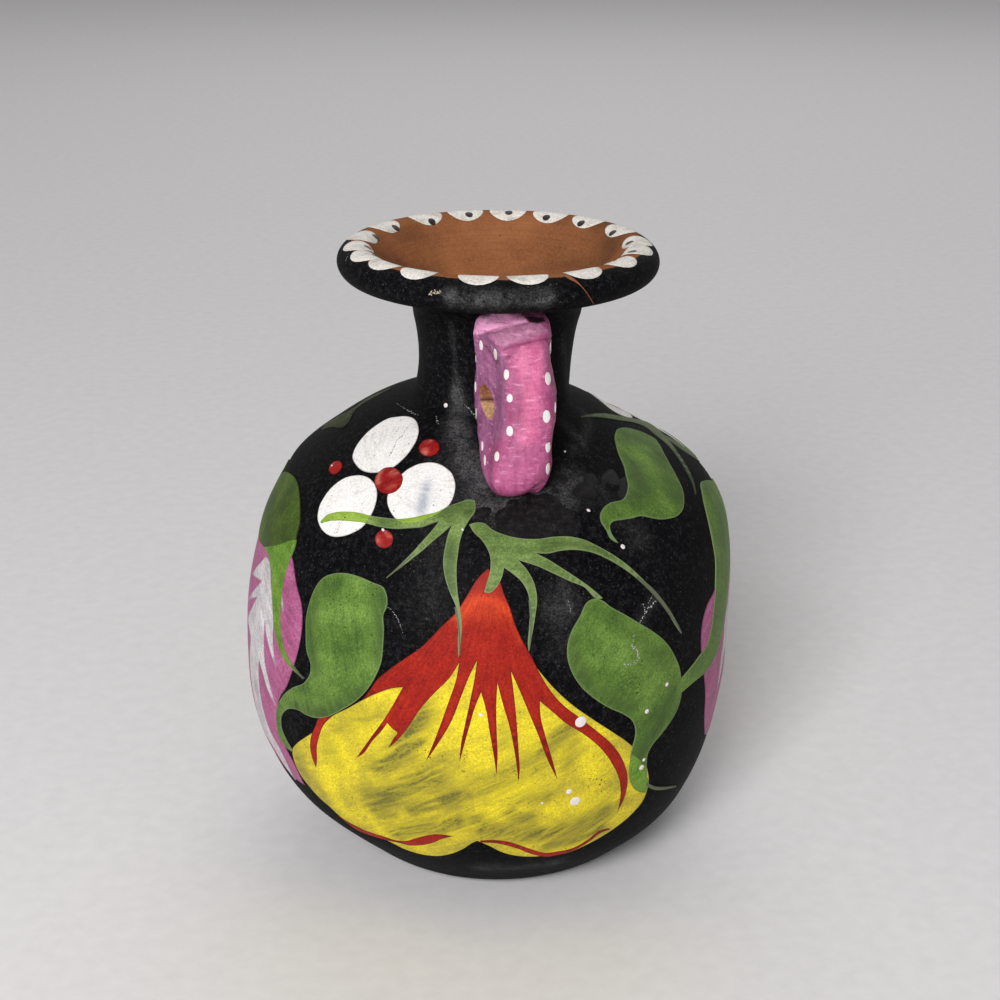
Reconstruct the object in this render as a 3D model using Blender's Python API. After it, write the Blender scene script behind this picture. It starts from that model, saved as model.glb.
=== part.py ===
"""Small painted terracotta jug with two pierced ears, as the clay pieces that a potter lutes together.

The jug stands on z = 0, its axis is Z, and the front ear faces -Y. All sizes are in metres.
"""

import math

import bmesh
import bpy

# Body: a round belly on a flat foot, closing in to the root of the neck
FOOT_RADIUS = 0.0230
BELLY_RADIUS = 0.0437
BELLY_HEIGHT = 0.0360
BASE_FULLNESS = 2.5
SHOULDER_FULLNESS = 3.0
SHOULDER_RISE = 0.0476

# Neck: a short waisted tube
NECK_ROOT_RADIUS = 0.0138
NECK_WAIST_RADIUS = 0.0130
NECK_TOP_RADIUS = 0.0142
NECK_LENGTH = 0.0144

# Rim: a wide dish with a thick rolled lip
RIM_RADIUS = 0.0274
RIM_RISE = 0.0125
LIP_DEPTH = 0.0068
LIP_HEIGHT = 0.0058
LIP_OUTER_TURN = math.radians(115)
LIP_INNER_TURN = math.radians(130)

# Clay thickness
BASE_THICKNESS = 0.0060
BODY_WALL = 0.0045
BORE_RADIUS = 0.0090
THROAT_DROP = 0.0010

# Luted seams: each one is bevelled, and keeps a layer of slip between its two faces
SLIP_GAP = 0.0003
BASE_SEAM_HEIGHT = 0.0055
BASE_SEAM_BEVEL = 0.0045
BELLY_SEAM_HEIGHT = 0.0440
BELLY_SEAM_BEVEL = 0.0035
NECK_SEAT_DROP = 0.0045
RIM_SEAT_DROP = 0.0035

# Ears: a strap of clay pinched between rim and shoulder, pierced from side to side for a cord
EAR_ROOT_WIDTH = 0.0116
EAR_FACE_WIDTH = 0.0078
EAR_BROW_REACH = 0.0110
EAR_BROW_HEIGHT = 0.0154
EAR_BROW_SLOPE = 1.36
EAR_FOOT_REACH = 0.0170
EAR_FOOT_DROP = 0.0036
EAR_FOOT_ROUNDING = 0.0050
EAR_FACE_BULGE = 0.0013
EAR_CORNER_SHARPNESS = 3.6
EAR_HOLE_RADIUS = 0.0032
EAR_HOLE_REACH = 0.0072
EAR_HOLE_HEIGHT = 0.0054

# Fineness of the curved surfaces
TURN_FACETS = 60
WALL_STEPS = 8
NECK_STEPS = 5
LIP_STEPS = 12
CURVE_SAMPLES = 200
EAR_SIDES = 24
EAR_LEVELS = 15
HOLE_SIDES = 24
SHARP_EDGE = math.radians(32)

# Heights and radii that follow from the sizes above
neck_root_height = BELLY_HEIGHT + SHOULDER_RISE
neck_top_height = neck_root_height + NECK_LENGTH
jug_height = neck_top_height + RIM_RISE
throat_height = neck_top_height - THROAT_DROP
inner_belly_radius = BELLY_RADIUS - BODY_WALL


def reach_to(rise, radius, widest, fullness):
    """How far the belly's curve would run on if nothing cut it off at this rise and radius."""
    return rise / (1 - (radius / widest) ** 2) ** (1 / fullness)


outer_skin = {
    "widest": BELLY_RADIUS,
    "down": reach_to(BELLY_HEIGHT, FOOT_RADIUS, BELLY_RADIUS, BASE_FULLNESS),
    "up": reach_to(SHOULDER_RISE, NECK_ROOT_RADIUS, BELLY_RADIUS, SHOULDER_FULLNESS),
}
inner_skin = {
    "widest": inner_belly_radius,
    "down": BELLY_HEIGHT - BASE_THICKNESS,
    "up": reach_to(SHOULDER_RISE - NECK_SEAT_DROP, BORE_RADIUS, inner_belly_radius, SHOULDER_FULLNESS),
}


def skin_radius(skin, height):
    """Radius of the belly's outer or inner skin at a height."""
    if height < BELLY_HEIGHT:
        share = ((BELLY_HEIGHT - height) / skin["down"]) ** BASE_FULLNESS
    else:
        share = ((height - BELLY_HEIGHT) / skin["up"]) ** SHOULDER_FULLNESS
    return skin["widest"] * math.sqrt(max(0.0, 1 - share))


def evenly_spaced(dense, steps):
    """Points at equal distances along a dense run of points, both ends included."""
    lengths = [0.0]
    for start, end in zip(dense, dense[1:]):
        lengths.append(lengths[-1] + math.dist(start, end))
    points = []
    at = 0
    for step in range(steps + 1):
        wanted = lengths[-1] * step / steps
        while at < len(dense) - 2 and lengths[at + 1] < wanted:
            at += 1
        share = (wanted - lengths[at]) / (lengths[at + 1] - lengths[at])
        start, end = dense[at], dense[at + 1]
        points.append(tuple(a + (b - a) * share for a, b in zip(start, end)))
    return points


def skin_run(skin, start, end, steps):
    """Profile points of the belly's outer or inner skin from one height to another."""
    heights = [start + (end - start) * i / CURVE_SAMPLES for i in range(CURVE_SAMPLES + 1)]
    return evenly_spaced([(skin_radius(skin, height), height) for height in heights], steps)


def neck_radius(height):
    """Radius of the waisted neck: a curve through its root, its waist half-way up and its top."""
    share = (height - neck_root_height) / NECK_LENGTH
    root = NECK_ROOT_RADIUS * (1 - share) * (1 - 2 * share)
    waist = NECK_WAIST_RADIUS * 4 * share * (1 - share)
    top = NECK_TOP_RADIUS * share * (2 * share - 1)
    return root + waist + top


def neck_run(start, end, steps):
    """Profile points of the neck's outside from one height to another."""
    heights = [start + (end - start) * i / steps for i in range(steps + 1)]
    return [(neck_radius(height), height) for height in heights]


def lip_run():
    """Profile points of the rolled lip, from its inner edge over the top and round to its underside."""
    centre_radius = RIM_RADIUS - LIP_DEPTH / 2
    centre_height = jug_height - LIP_HEIGHT / 2
    points = []
    for step in range(LIP_STEPS + 1):
        turn = LIP_INNER_TURN - (LIP_INNER_TURN + LIP_OUTER_TURN) * step / LIP_STEPS
        radius = centre_radius + LIP_DEPTH / 2 * math.cos(turn)
        height = centre_height + LIP_HEIGHT / 2 * math.sin(turn)
        points.append((radius, height))
    return points


def slip_lift(outer, inner):
    """Height to add to one face of a bevelled seam so that the layer of slip is SLIP_GAP thick."""
    run = abs(outer[0] - inner[0])
    return SLIP_GAP * math.hypot(run, outer[1] - inner[1]) / run


def seam(outer_height, inner_height, outer_radius_at, inner_radius_at):
    """The two ends of a seam on the lower piece, then the same ends on the upper piece."""
    outer = (outer_radius_at(outer_height), outer_height)
    inner = (inner_radius_at(inner_height), inner_height)
    lift = slip_lift(outer, inner)
    raised_outer = (outer_radius_at(outer_height + lift), outer_height + lift)
    raised_inner = (inner_radius_at(inner_height + lift), inner_height + lift)
    return (outer, inner), (raised_outer, raised_inner)


def outer_belly(height):
    return skin_radius(outer_skin, height)


def inner_belly(height):
    return skin_radius(inner_skin, height)


def outer_neck(height):
    return neck_radius(height) if height > neck_root_height else outer_belly(height)


def outer_flare(height):
    """Radius of the dish's underside, which runs straight from the neck's top to the rolled lip."""
    lip_foot = lip_run()[-1]
    share = (height - neck_top_height) / (lip_foot[1] - neck_top_height)
    return NECK_TOP_RADIUS + (lip_foot[0] - NECK_TOP_RADIUS) * max(0.0, share)


def bore(height):
    return BORE_RADIUS


base_seam = seam(BASE_SEAM_HEIGHT, BASE_SEAM_HEIGHT + BASE_SEAM_BEVEL, outer_belly, inner_belly)
belly_seam = seam(BELLY_SEAM_HEIGHT, BELLY_SEAM_HEIGHT + BELLY_SEAM_BEVEL, outer_belly, inner_belly)
neck_seam = seam(neck_root_height, neck_root_height - NECK_SEAT_DROP, outer_neck, bore)
rim_seam = seam(neck_top_height, neck_top_height - RIM_SEAT_DROP, outer_flare, bore)


def painted_clay(name, colour, roughness):
    """Matt paint or bare clay, as one Principled material."""
    material = bpy.data.materials.new(name)
    material.use_nodes = True
    shader = material.node_tree.nodes["Principled BSDF"]
    shader.inputs["Base Color"].default_value = (*colour, 1.0)
    shader.inputs["Roughness"].default_value = roughness
    shader.inputs["Metallic"].default_value = 0.0
    material.diffuse_color = (*colour, 1.0)
    return material


def add_object(name, bm, material=None):
    """A bmesh as an object: a piece of clay with its material, or a hidden cutter without one."""
    bm.normal_update()
    bmesh.ops.recalc_face_normals(bm, faces=bm.faces)
    mesh = bpy.data.meshes.new(name)
    bm.to_mesh(mesh)
    bm.free()
    mesh.shade_smooth()
    mesh.set_sharp_from_angle(angle=SHARP_EDGE)
    obj = bpy.data.objects.new(name, mesh)
    bpy.context.scene.collection.objects.link(obj)
    if material is None:
        obj.hide_render = True
        obj.display_type = "WIRE"
    else:
        mesh.materials.append(material)
    return obj


def turned(name, profile, material=None, closed=True):
    """A body turned round Z from (radius, height) points. An open profile starts and ends on the axis."""
    bm = bmesh.new()
    points = [bm.verts.new((radius, 0.0, height)) for radius, height in profile]
    pairs = list(zip(points, points[1:]))
    if closed:
        pairs.append((points[-1], points[0]))
    edges = [bm.edges.new(pair) for pair in pairs]
    bmesh.ops.spin(
        bm,
        geom=points + edges,
        cent=(0.0, 0.0, 0.0),
        axis=(0.0, 0.0, 1.0),
        angle=2 * math.pi,
        steps=TURN_FACETS,
        use_merge=True,
    )
    bmesh.ops.remove_doubles(bm, verts=bm.verts, dist=1e-6)
    return add_object(name, bm, material)


def make_base_disc(material):
    """The slab: flat below, with its edge turned up along the belly to a bevel that carries the wall."""
    (outer, inner), _ = base_seam
    floor = skin_run(inner_skin, BASE_THICKNESS, inner[1], WALL_STEPS // 2)
    edge = skin_run(outer_skin, outer[1], 0.0, WALL_STEPS // 2)
    return turned("base_disc", floor + edge + [(0.0, 0.0)], material, closed=False)


def make_wall(name, lower_seam, upper_seam, material):
    """A stretch of the belly's wall between two seams."""
    _, (low_outer, low_inner) = lower_seam
    (high_outer, high_inner), _ = upper_seam
    outside = skin_run(outer_skin, high_outer[1], low_outer[1], WALL_STEPS)
    inside = skin_run(inner_skin, low_inner[1], high_inner[1], WALL_STEPS)
    return turned(name, outside + inside, material)


def make_neck_collar(material):
    """The neck's tube: a waisted outside, a straight bore, and a cone at each end for its seam."""
    _, (low_outer, low_inner) = neck_seam
    (high_outer, high_inner), _ = rim_seam
    outside = neck_run(high_outer[1], low_outer[1], NECK_STEPS)
    return turned("neck_collar", outside + [low_inner, high_inner], material)


def make_flared_rim(material):
    """The dish: a straight funnel inside, a rolled lip, a straight flare outside and a short spigot below."""
    _, (low_outer, low_inner) = rim_seam
    throat = (BORE_RADIUS, throat_height)
    return turned("flared_rim", [throat] + lip_run() + [low_outer, low_inner], material)


def outer_profile():
    """The whole pot's outside, from the top of the lip down to the foot."""
    lip = [point for point in lip_run() if point[0] > RIM_RADIUS - LIP_DEPTH / 2]
    lip.append(lip_run()[-1])
    neck = neck_run(neck_top_height, neck_root_height, NECK_STEPS)
    belly = skin_run(outer_skin, neck_root_height, 0.0, 2 * WALL_STEPS)
    return lip + neck + belly[1:]


def swollen(profile, gap):
    """A downward-running profile moved outwards by gap, square to the surface."""
    moved = []
    for i, (radius, height) in enumerate(profile):
        before = profile[max(i - 1, 0)]
        after = profile[min(i + 1, len(profile) - 1)]
        run = after[0] - before[0]
        drop = before[1] - after[1]
        length = math.hypot(run, drop)
        moved.append((radius + gap * drop / length, height + gap * run / length))
    return moved


def make_pot_envelope():
    """The filled outside of the pot with a layer of slip, which trims an ear to its seat."""
    skin = swollen(outer_profile(), SLIP_GAP)
    top = [(0.0, skin[0][1])]
    bottom = [(0.0, skin[-1][1])]
    return turned("pot_envelope", top + skin + bottom, closed=False)


ear_brow_height = neck_root_height + EAR_BROW_HEIGHT
ear_brow_radius = NECK_WAIST_RADIUS + EAR_BROW_REACH
ear_foot_height = neck_root_height - EAR_FOOT_DROP
ear_foot_radius = NECK_WAIST_RADIUS + EAR_FOOT_REACH
ear_root_radius = NECK_WAIST_RADIUS - (NECK_WAIST_RADIUS - BORE_RADIUS) / 2


def ear_face_radius(height):
    """How far the ear stands out at a height: a bulging face, cut back by a slope above the brow."""
    share = (height - ear_foot_height) / (ear_brow_height - ear_foot_height)
    face = ear_foot_radius + (ear_brow_radius - ear_foot_radius) * share
    face += EAR_FACE_BULGE * 4 * share * (1 - share)
    slope = ear_brow_radius - (height - ear_brow_height) * EAR_BROW_SLOPE
    return min(face, slope)


def ear_end_rounding(height):
    """Share of the full width that is left at a height: 1 above the foot, falling to 0 below it."""
    below = max(0.0, ear_foot_height - height) / EAR_FOOT_ROUNDING
    return math.sqrt(max(0.0, 1 - below**2))


def ear_ring(height):
    """One level of the ear: full width at the root, its left flank drawn in towards the face."""
    rounding = ear_end_rounding(height)
    face = ear_face_radius(height)
    ring = []
    for side in range(EAR_SIDES):
        turn = 2 * math.pi * side / EAR_SIDES
        across = math.copysign(abs(math.sin(turn)) ** (2 / EAR_CORNER_SHARPNESS), math.sin(turn))
        along = math.copysign(abs(math.cos(turn)) ** (2 / EAR_CORNER_SHARPNESS), math.cos(turn))
        outwards = (1 + along) / 2
        half_width = EAR_ROOT_WIDTH / 2
        if across < 0:
            half_width += (EAR_FACE_WIDTH - EAR_ROOT_WIDTH) * outwards
        radius = ear_root_radius + (face - ear_root_radius) * outwards
        ring.append((across * half_width * rounding, -radius, height))
    return ring


def make_ear(name, turn, material, envelope, hole):
    """A pierced ear, lofted up its levels, then trimmed to the pot and pierced by the hole."""
    lowest = ear_foot_height - EAR_FOOT_ROUNDING * 0.98
    highest = neck_top_height + RIM_RISE / 2
    bm = bmesh.new()
    rings = []
    for level in range(EAR_LEVELS + 1):
        share = level / EAR_LEVELS
        height = lowest + (highest - lowest) * share**1.2
        rings.append([bm.verts.new(point) for point in ear_ring(height)])
    for lower, upper in zip(rings, rings[1:]):
        for side in range(EAR_SIDES):
            after = (side + 1) % EAR_SIDES
            bm.faces.new((lower[side], lower[after], upper[after], upper[side]))
    bm.faces.new(rings[0])
    bm.faces.new(rings[-1])
    ear = add_object(name, bm, material)
    ear.rotation_euler.z = turn
    for label, cutter in (("seat on the pot", envelope), ("cord hole", hole)):
        cut = ear.modifiers.new(label, "BOOLEAN")
        cut.operation = "DIFFERENCE"
        cut.solver = "EXACT"
        cut.object = cutter
    return ear


def make_hole_cutter(name, turn):
    """A round rod from side to side through an ear, longer than the ear is wide."""
    bm = bmesh.new()
    bmesh.ops.create_cone(
        bm,
        cap_ends=True,
        segments=HOLE_SIDES,
        radius1=EAR_HOLE_RADIUS,
        radius2=EAR_HOLE_RADIUS,
        depth=2 * EAR_ROOT_WIDTH,
    )
    for vert in bm.verts:
        x, y, z = vert.co
        vert.co = (z, y - NECK_WAIST_RADIUS - EAR_HOLE_REACH, neck_root_height + EAR_HOLE_HEIGHT - x)
    cutter = add_object(name, bm)
    cutter.rotation_euler.z = turn
    return cutter


def make_jug():
    black = painted_clay("black painted clay", (0.016, 0.016, 0.019), 0.72)
    pink = painted_clay("pink painted clay", (0.72, 0.15, 0.42), 0.6)
    bare = painted_clay("bare terracotta", (0.36, 0.13, 0.045), 0.85)
    make_base_disc(black)
    make_wall("lower_bowl", base_seam, belly_seam, black)
    make_wall("shoulder", belly_seam, neck_seam, black)
    make_neck_collar(black)
    make_flared_rim(bare)
    envelope = make_pot_envelope()
    for name, turn in (("front_lug", 0.0), ("rear_lug", math.pi)):
        hole = make_hole_cutter(name + "_hole", turn)
        make_ear(name, turn, pink, envelope, hole)


for leftover in list(bpy.data.objects):
    bpy.data.objects.remove(leftover, do_unlink=True)
make_jug()
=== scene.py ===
"""Painted terracotta jug: a thrown clay wall, two pierced ears, and flowers brushed over a black ground.

Metres, +Z up, the front ear towards -Y. The wall and the paint are laid out flat, as on unrolled paper,
and then wrapped on the wheel-turned profile by Geometry Nodes. What the photograph shows of the painting is
drawn in its pixels, and the rest in degrees round the jug and mm along the wall's section.
"""

import math
import random

import bmesh
import bpy
import numpy as np
from mathutils import Matrix, Vector, noise
from mathutils.bvhtree import BVHTree
from mathutils.geometry import delaunay_2d_cdt
from mathutils.interpolate import poly_3d_calc
from mathutils.kdtree import KDTree


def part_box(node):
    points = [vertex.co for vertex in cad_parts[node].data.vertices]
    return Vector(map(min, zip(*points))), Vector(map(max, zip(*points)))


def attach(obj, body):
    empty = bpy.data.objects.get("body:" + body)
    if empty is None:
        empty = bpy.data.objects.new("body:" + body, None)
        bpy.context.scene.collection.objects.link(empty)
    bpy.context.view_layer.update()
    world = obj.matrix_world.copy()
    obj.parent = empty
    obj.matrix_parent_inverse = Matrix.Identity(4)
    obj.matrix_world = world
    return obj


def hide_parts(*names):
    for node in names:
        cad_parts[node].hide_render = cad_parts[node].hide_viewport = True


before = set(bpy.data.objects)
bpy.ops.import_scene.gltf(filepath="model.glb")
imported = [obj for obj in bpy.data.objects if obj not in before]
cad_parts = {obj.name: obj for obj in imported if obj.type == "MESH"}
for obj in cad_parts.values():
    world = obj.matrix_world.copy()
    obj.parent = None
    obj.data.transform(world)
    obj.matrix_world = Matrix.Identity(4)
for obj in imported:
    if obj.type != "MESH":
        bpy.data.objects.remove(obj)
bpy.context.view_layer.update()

MM = 0.001

# Camera of the photograph: where it stands, seen from the jug, and how it looks
PHOTO_SIZE = 1000
FOCAL_LENGTH_PIXELS = 1850
SENSOR_WIDTH = 36.0
CAMERA_AZIMUTH = math.radians(-8)
CAMERA_PITCH = math.radians(21.4)
CAMERA_RANGE = 306.5 * MM
CAMERA_HEIGHT = 183.5 * MM
CAMERA_SIDESTEP = 2.4 * MM

# Lamps: azimuth and elevation in degrees, distance, size, and what a white face square to them would show
KEY_LAMP = (-24, 30, 0.9, 0.3, 0.84)
FILL_LAMP = (165, 45, 1.2, 1.0, 0.2)

# Sizes that the frame gives
belly_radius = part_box("lower_bowl")[1].x
neck_root_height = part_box("shoulder")[1].z
neck_top_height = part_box("neck_collar")[1].z
jug_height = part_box("flared_rim")[1].z
rim_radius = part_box("flared_rim")[1].x

# Form of the wall
FOOT_RADIUS = 23.0 * MM
BELLY_HEIGHT = 36.0 * MM
BASE_FULLNESS = 2.5
SHOULDER_FULLNESS = 3.0
NECK_ROOT_RADIUS = 13.8 * MM
NECK_WAIST_RADIUS = 13.0 * MM
NECK_TOP_RADIUS = 14.2 * MM
LIP_DEPTH = 6.8 * MM
LIP_HEIGHT = 5.8 * MM
LIP_OUTER_TURN = math.radians(115)
LIP_INNER_TURN = math.radians(130)
BASE_THICKNESS = 6.0 * MM
BODY_WALL = 4.5 * MM
BORE_RADIUS = 9.0 * MM
THROAT_DROP = 1.0 * MM
INNER_SHOULDER_DROP = 4.5 * MM
FOOT_EDGE_ROUNDING = 0.7 * MM
PAINT_ROOM = 0.3 * MM
LIP_ROOM = 0.26 * MM
UNDER_RIM = ((14.5, 99.6), (15.4, 101.1), (17.4, 102.4))

# How the hand-thrown wall strays from the true form, by height: to the right, outwards, and its tilt
LEAN = (
    (0, 1.8), (8, 1.8), (14, 0.7), (20, 0.15), (27, -0.2), (33, -0.1), (46, 0.3), (58, 1.3), (68, 1.3),
    (76, -1.8), (84, 0.9), (98, 1.9), (107, 2.1),
)
SWELL = (
    (0, 0.6), (5, -0.8), (13, -0.8), (22, -0.75), (28, -0.5), (34, -0.2), (56, 0.1), (64, 0.7), (71, 0.2),
    (77, -2.0), (83.6, -0.4), (91, 0.2), (98, 0.1), (107, -0.1),
)
TILT_DEGREES = ((0, 0.0), (40, -0.2), (56, 0.2), (68, -0.3), (76, -1.4), (84, 2.0), (95, -0.4), (107, 0.3))
SWELL_WHOLE_FROM = 0.9 * NECK_WAIST_RADIUS

# Fineness of the wall
WALL_SEGMENTS = 288
OUTER_ROW = 0.6 * MM
INNER_ROW = 1.5 * MM
FLAT_ROW = 4 * OUTER_ROW
LIP_ROW = 0.3 * MM
FOOT_EDGE_STEPS = 6
FOOT_EDGE_ROW = FOOT_EDGE_ROUNDING / 5
BELLY_SAMPLES = 400
NECK_SAMPLES = 40
LIP_SAMPLES = 80
HOLLOW_SAMPLES = 300
WALL_WELD = 0.002 * MM
FILM_WELD = 0.0001 * MM

# Fineness of the paint: in mm, and the strokes in pixels
FILL_STEP = 0.7
YELLOW_FILL_STEP = 0.45
EDGE_STEP = 0.3
STROKE_STEP = 2.0
THINNEST_STROKE = 0.6
ROUND_DAB_POINTS = 12
DAB_FINENESS = 3
GRAIN_FINENESS = 1

# How a grid of triangles fills a film, as shares of its step: between rows, and clear of the edges
GRID_ROW = 0.87
GRID_CLEARANCE = 0.45
CLOSE_ENOUGH = 1e-4
NEXT_TO_NOTHING = 1e-12

# Thickness of the paint, in mm off the clay
PAINT_LIFT = 0.03
LAYER_LIFT = 0.06
RELIEF = 0.04
BERRY_RELIEF = 0.08
RELIEF_RUN = 0.5
PAINT_SKIRT = 0.05
FILM_EDGE_ANGLE = math.radians(40)

# Brush lines that fan out: mm of chart for each radian. Soft marks: points of their lines to a width.
FAN_REACH = 20
FILM_MARK_POINTS = 4
WALL_MARK_POINTS = 3

# Where the black ground ends: on the lip from its crest, and round the foot from its edge
LIP_PAINT_END = -0.5 * MM
LIP_PAINT_FADE = 0.2 * MM
FOOT_PAINT_START = 1.6 * MM
FOOT_PAINT_WHOLE = 1.1 * MM
RAGGED_EDGE = 0.8 * MM

# Scallops on the rim, in mm, and their dots
SCALLOP_WIDTH = 6.7
SCALLOP_LENGTH = 5.6
SCALLOP_WIDTH_RANGE = (0.96, 1.05)
SCALLOP_LENGTH_RANGE = (0.94, 1.06)
SCALLOP_SETBACK = 0.45
SCALLOP_RELIEF = 0.06 * MM
RIM_DOT_SIZE = 0.7 * MM
RIM_DOT_STRETCH = 1.1
RIM_DOT_RELIEF = 0.04 * MM

# The pixel row above which a scallop is across the mouth, and how far down the lip is looked for there
RIM_MIDDLE_ROW = 247
FAR_SCALLOP_NUDGE = 2.5

# Small dots and grains of paint. A grain may lie at each step of its line, in pixels.
PIXELS_PER_MM = 6.1
DOT_RELIEF = 0.1 * MM
GRAIN_RELIEF = 0.03 * MM
GRAIN_STEP = 0.9
GRAIN_SHARE = 0.7

# Ears: tables by height in mm, of how far the face stands out, where its corners are and how it is pinched
EAR_FACE = (
    (74.8, 27.3), (75.5, 29.2), (76.4, 30.3), (78.2, 31), (81, 30.7), (85, 29.9), (88, 29.3), (92, 27.9),
    (96, 26.3), (98.4, 25.4), (99, 25), (99.5, 24.4), (100.8, 23), (101.4, 22.2), (102.4, 20.8),
    (103.2, 19.6),
)
EAR_LEFT = (
    (74.8, -2.4), (75.4, -3.4), (76.2, -4.2), (77.2, -4.8), (78.2, -5.1), (80, -5.2), (84, -4.9), (88, -5.4),
    (92, -5.3), (96, -5.7), (100, -6.0), (101.4, -5.8), (102.3, -5.0), (103.2, -3.6),
)
EAR_RIDGE = (
    (74.8, -1.6), (75.4, -2.4), (76.2, -3.2), (78, -3.9), (81, -3.5), (84, -2.4), (88, -1.8), (92, -1.8),
    (96, -1.9), (98.8, -2.6), (100, -4.0), (102.3, -3.8), (103.2, -2.6),
)
EAR_RIGHT = (
    (74.8, 2.2), (75.4, 3.2), (76.2, 4.1), (77.6, 5), (79, 5.5), (81, 5.9), (84, 6.3), (88, 6.8), (91, 6.6),
    (94, 6.2), (97, 5.7), (100, 5.9), (101.4, 5.7), (102.4, 5.0), (103.2, 4.0),
)
EAR_PINCH = ((74.8, 0.0), (80, 0.2), (86, 0.9), (90, 1.1), (95, 0.9), (99, 0.2), (103.2, 0.0))
EAR_SLANT = 0.55 * MM
EAR_FULL_DEPTH = 3.5 * MM
EAR_LEAST_DEPTH = 2.4 * MM
EAR_ROOT_DEPTH = 1.2 * MM
EAR_LEAN_FROM = 86 * MM
EAR_LEVELS = 84
EAR_SIDES = 72
EAR_ROW = 0.3 * MM

# The ear's hole: how far out and how high its middle is, and its lens-shaped form
EAR_HOLE_REACH = 19.6 * MM
EAR_HOLE_HEIGHT = 88.3 * MM
EAR_HOLE_WIDTH = 3.5 * MM
EAR_HOLE_SLANT = 0.5
EAR_HOLE_TALL = 4.9 * MM
EAR_HOLE_POINT = 1.5
EAR_HOLE_SIDES = 24
EAR_HOLE_HALF_LENGTH = 9 * MM

# Bare clay in the hole: how far past its edge, how that fades, its pale floor, and the crack through it
EAR_BARE_REACH = 1.1
EAR_BARE_FADE = 0.08
EAR_FLOOR_FADE = 0.8 * MM
EAR_CRACK_DROP = 0.1 * MM
EAR_CRACK_WIDTH = 0.22 * MM

# How far the ear's surface has to face left to be flank, where mauve takes painted shade, how that fades, and
# the softness of its drawn edge
EAR_FLANK_FACING = 0.5
EAR_FLANK_FADE = 0.3
EAR_FLANK_BLUR = 7

# The ear's clay: how it is kneaded, and the lumps and creases on it, with their number to the metre
EAR_VOXEL = 0.25 * MM
EAR_RUBS = 2
EAR_LUMPS = 0.2 * MM
EAR_LUMP_SCALE = 260
EAR_CREASES = 0.05 * MM
EAR_CREASE_SCALE = (500, 500, 1400)
EAR_DOT_WIDTH = 1.05 * MM
EAR_DOT_RELIEF = 0.12 * MM
EAR_DOT_LEAST_SLANT = 0.4

# How a line of sight that just misses is drawn in, in pixels across and down, and towards where
SIGHT_TRIES = 80
OUTLINE_NUDGE = (0.5, 0.1)
EAR_NUDGE = (0.4, 0.0)
PHOTO_MIDDLE = (PHOTO_SIZE / 2, PHOTO_SIZE / 2)
EAR_MIDDLE = (515, 400)


# Curves and scene objects


def eased(t, start, end, start_way, end_way):
    """A smooth curve's place at t, 0 to 1, by its two ends and how fast it leaves one and nears the other."""
    leaving = (1 + 2 * t) * (1 - t) ** 2 * start + t * (1 - t) ** 2 * start_way
    return leaving + t * t * (3 - 2 * t) * end - t * t * (1 - t) * end_way


def by_height(table, height):
    """Smooth curve through (height in mm, value) pairs, level at both ends."""
    heights = [pair[0] * MM for pair in table]
    values = [pair[1] for pair in table]
    if height <= heights[0]:
        return values[0]
    if height >= heights[-1]:
        return values[-1]
    at = max(i for i, known in enumerate(heights) if known <= height)
    slopes = [0.0] * len(table)
    for i in range(1, len(table) - 1):
        slopes[i] = (values[i + 1] - values[i - 1]) / (heights[i + 1] - heights[i - 1])
    width = heights[at + 1] - heights[at]
    t = (height - heights[at]) / width
    return eased(t, values[at], values[at + 1], width * slopes[at], width * slopes[at + 1])


def walked(points):
    """The distance walked along a run of points, at each of them."""
    return np.concatenate([[0], np.cumsum(np.linalg.norm(np.diff(points, axis=0), axis=1))])


def spaced(points, row):
    """Points along a run of points, about one row apart, both ends kept."""
    points = np.array(points)
    distances = walked(points)
    wanted = np.linspace(0, distances[-1], max(2, round(distances[-1] / row)) + 1)
    return list(zip(*(np.interp(wanted, distances, axis) for axis in points.T)))


def stand_alone(name, data):
    """An object in the scene with a mesh, a lamp or a camera."""
    obj = bpy.data.objects.new(name, data)
    bpy.context.scene.collection.objects.link(obj)
    return obj


def evaluated(obj):
    """The mesh of an object once its modifiers are done. The object is removed."""
    graph = bpy.context.evaluated_depsgraph_get()
    graph.update()
    mesh = bpy.data.meshes.new_from_object(obj.evaluated_get(graph))
    obj.modifiers.clear()
    bpy.data.objects.remove(obj)
    return mesh


def put_attribute(mesh, name, values, kind="FLOAT"):
    """Stores a value for each of a mesh's points."""
    made = mesh.attributes.new(name, kind, "POINT")
    label = "vector" if kind == "FLOAT_VECTOR" else "value"
    made.data.foreach_set(label, np.array(values, np.float32).ravel())


# The wall's section


def reach_to(height, radius, widest, fullness):
    """How far the belly's curve would run on if nothing cut it off at this height and radius."""
    return height / (1 - (radius / widest) ** 2) ** (1 / fullness)


def belly_curve(widest, down, up):
    """A function that gives the belly's radius at a height."""

    def radius(height):
        if height < BELLY_HEIGHT:
            share = ((BELLY_HEIGHT - height) / down) ** BASE_FULLNESS
        else:
            share = ((height - BELLY_HEIGHT) / up) ** SHOULDER_FULLNESS
        return widest * math.sqrt(max(0.0, 1 - share))

    return radius


def neck_radius(height):
    """Waisted neck: a curve through its root, its waist half-way up and its top."""
    share = (height - neck_root_height) / (neck_top_height - neck_root_height)
    root = NECK_ROOT_RADIUS * (1 - share) * (1 - 2 * share)
    waist = NECK_WAIST_RADIUS * 4 * share * (1 - share)
    top = NECK_TOP_RADIUS * share * (2 * share - 1)
    return root + waist + top


def lip_point(turn):
    """Radius and height on the rolled lip at a turn from its outermost line."""
    radius = rim_radius - LIP_DEPTH / 2 * (1 - math.cos(turn))
    return radius, jug_height - LIP_ROOM - LIP_HEIGHT / 2 * (1 - math.sin(turn))


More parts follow.
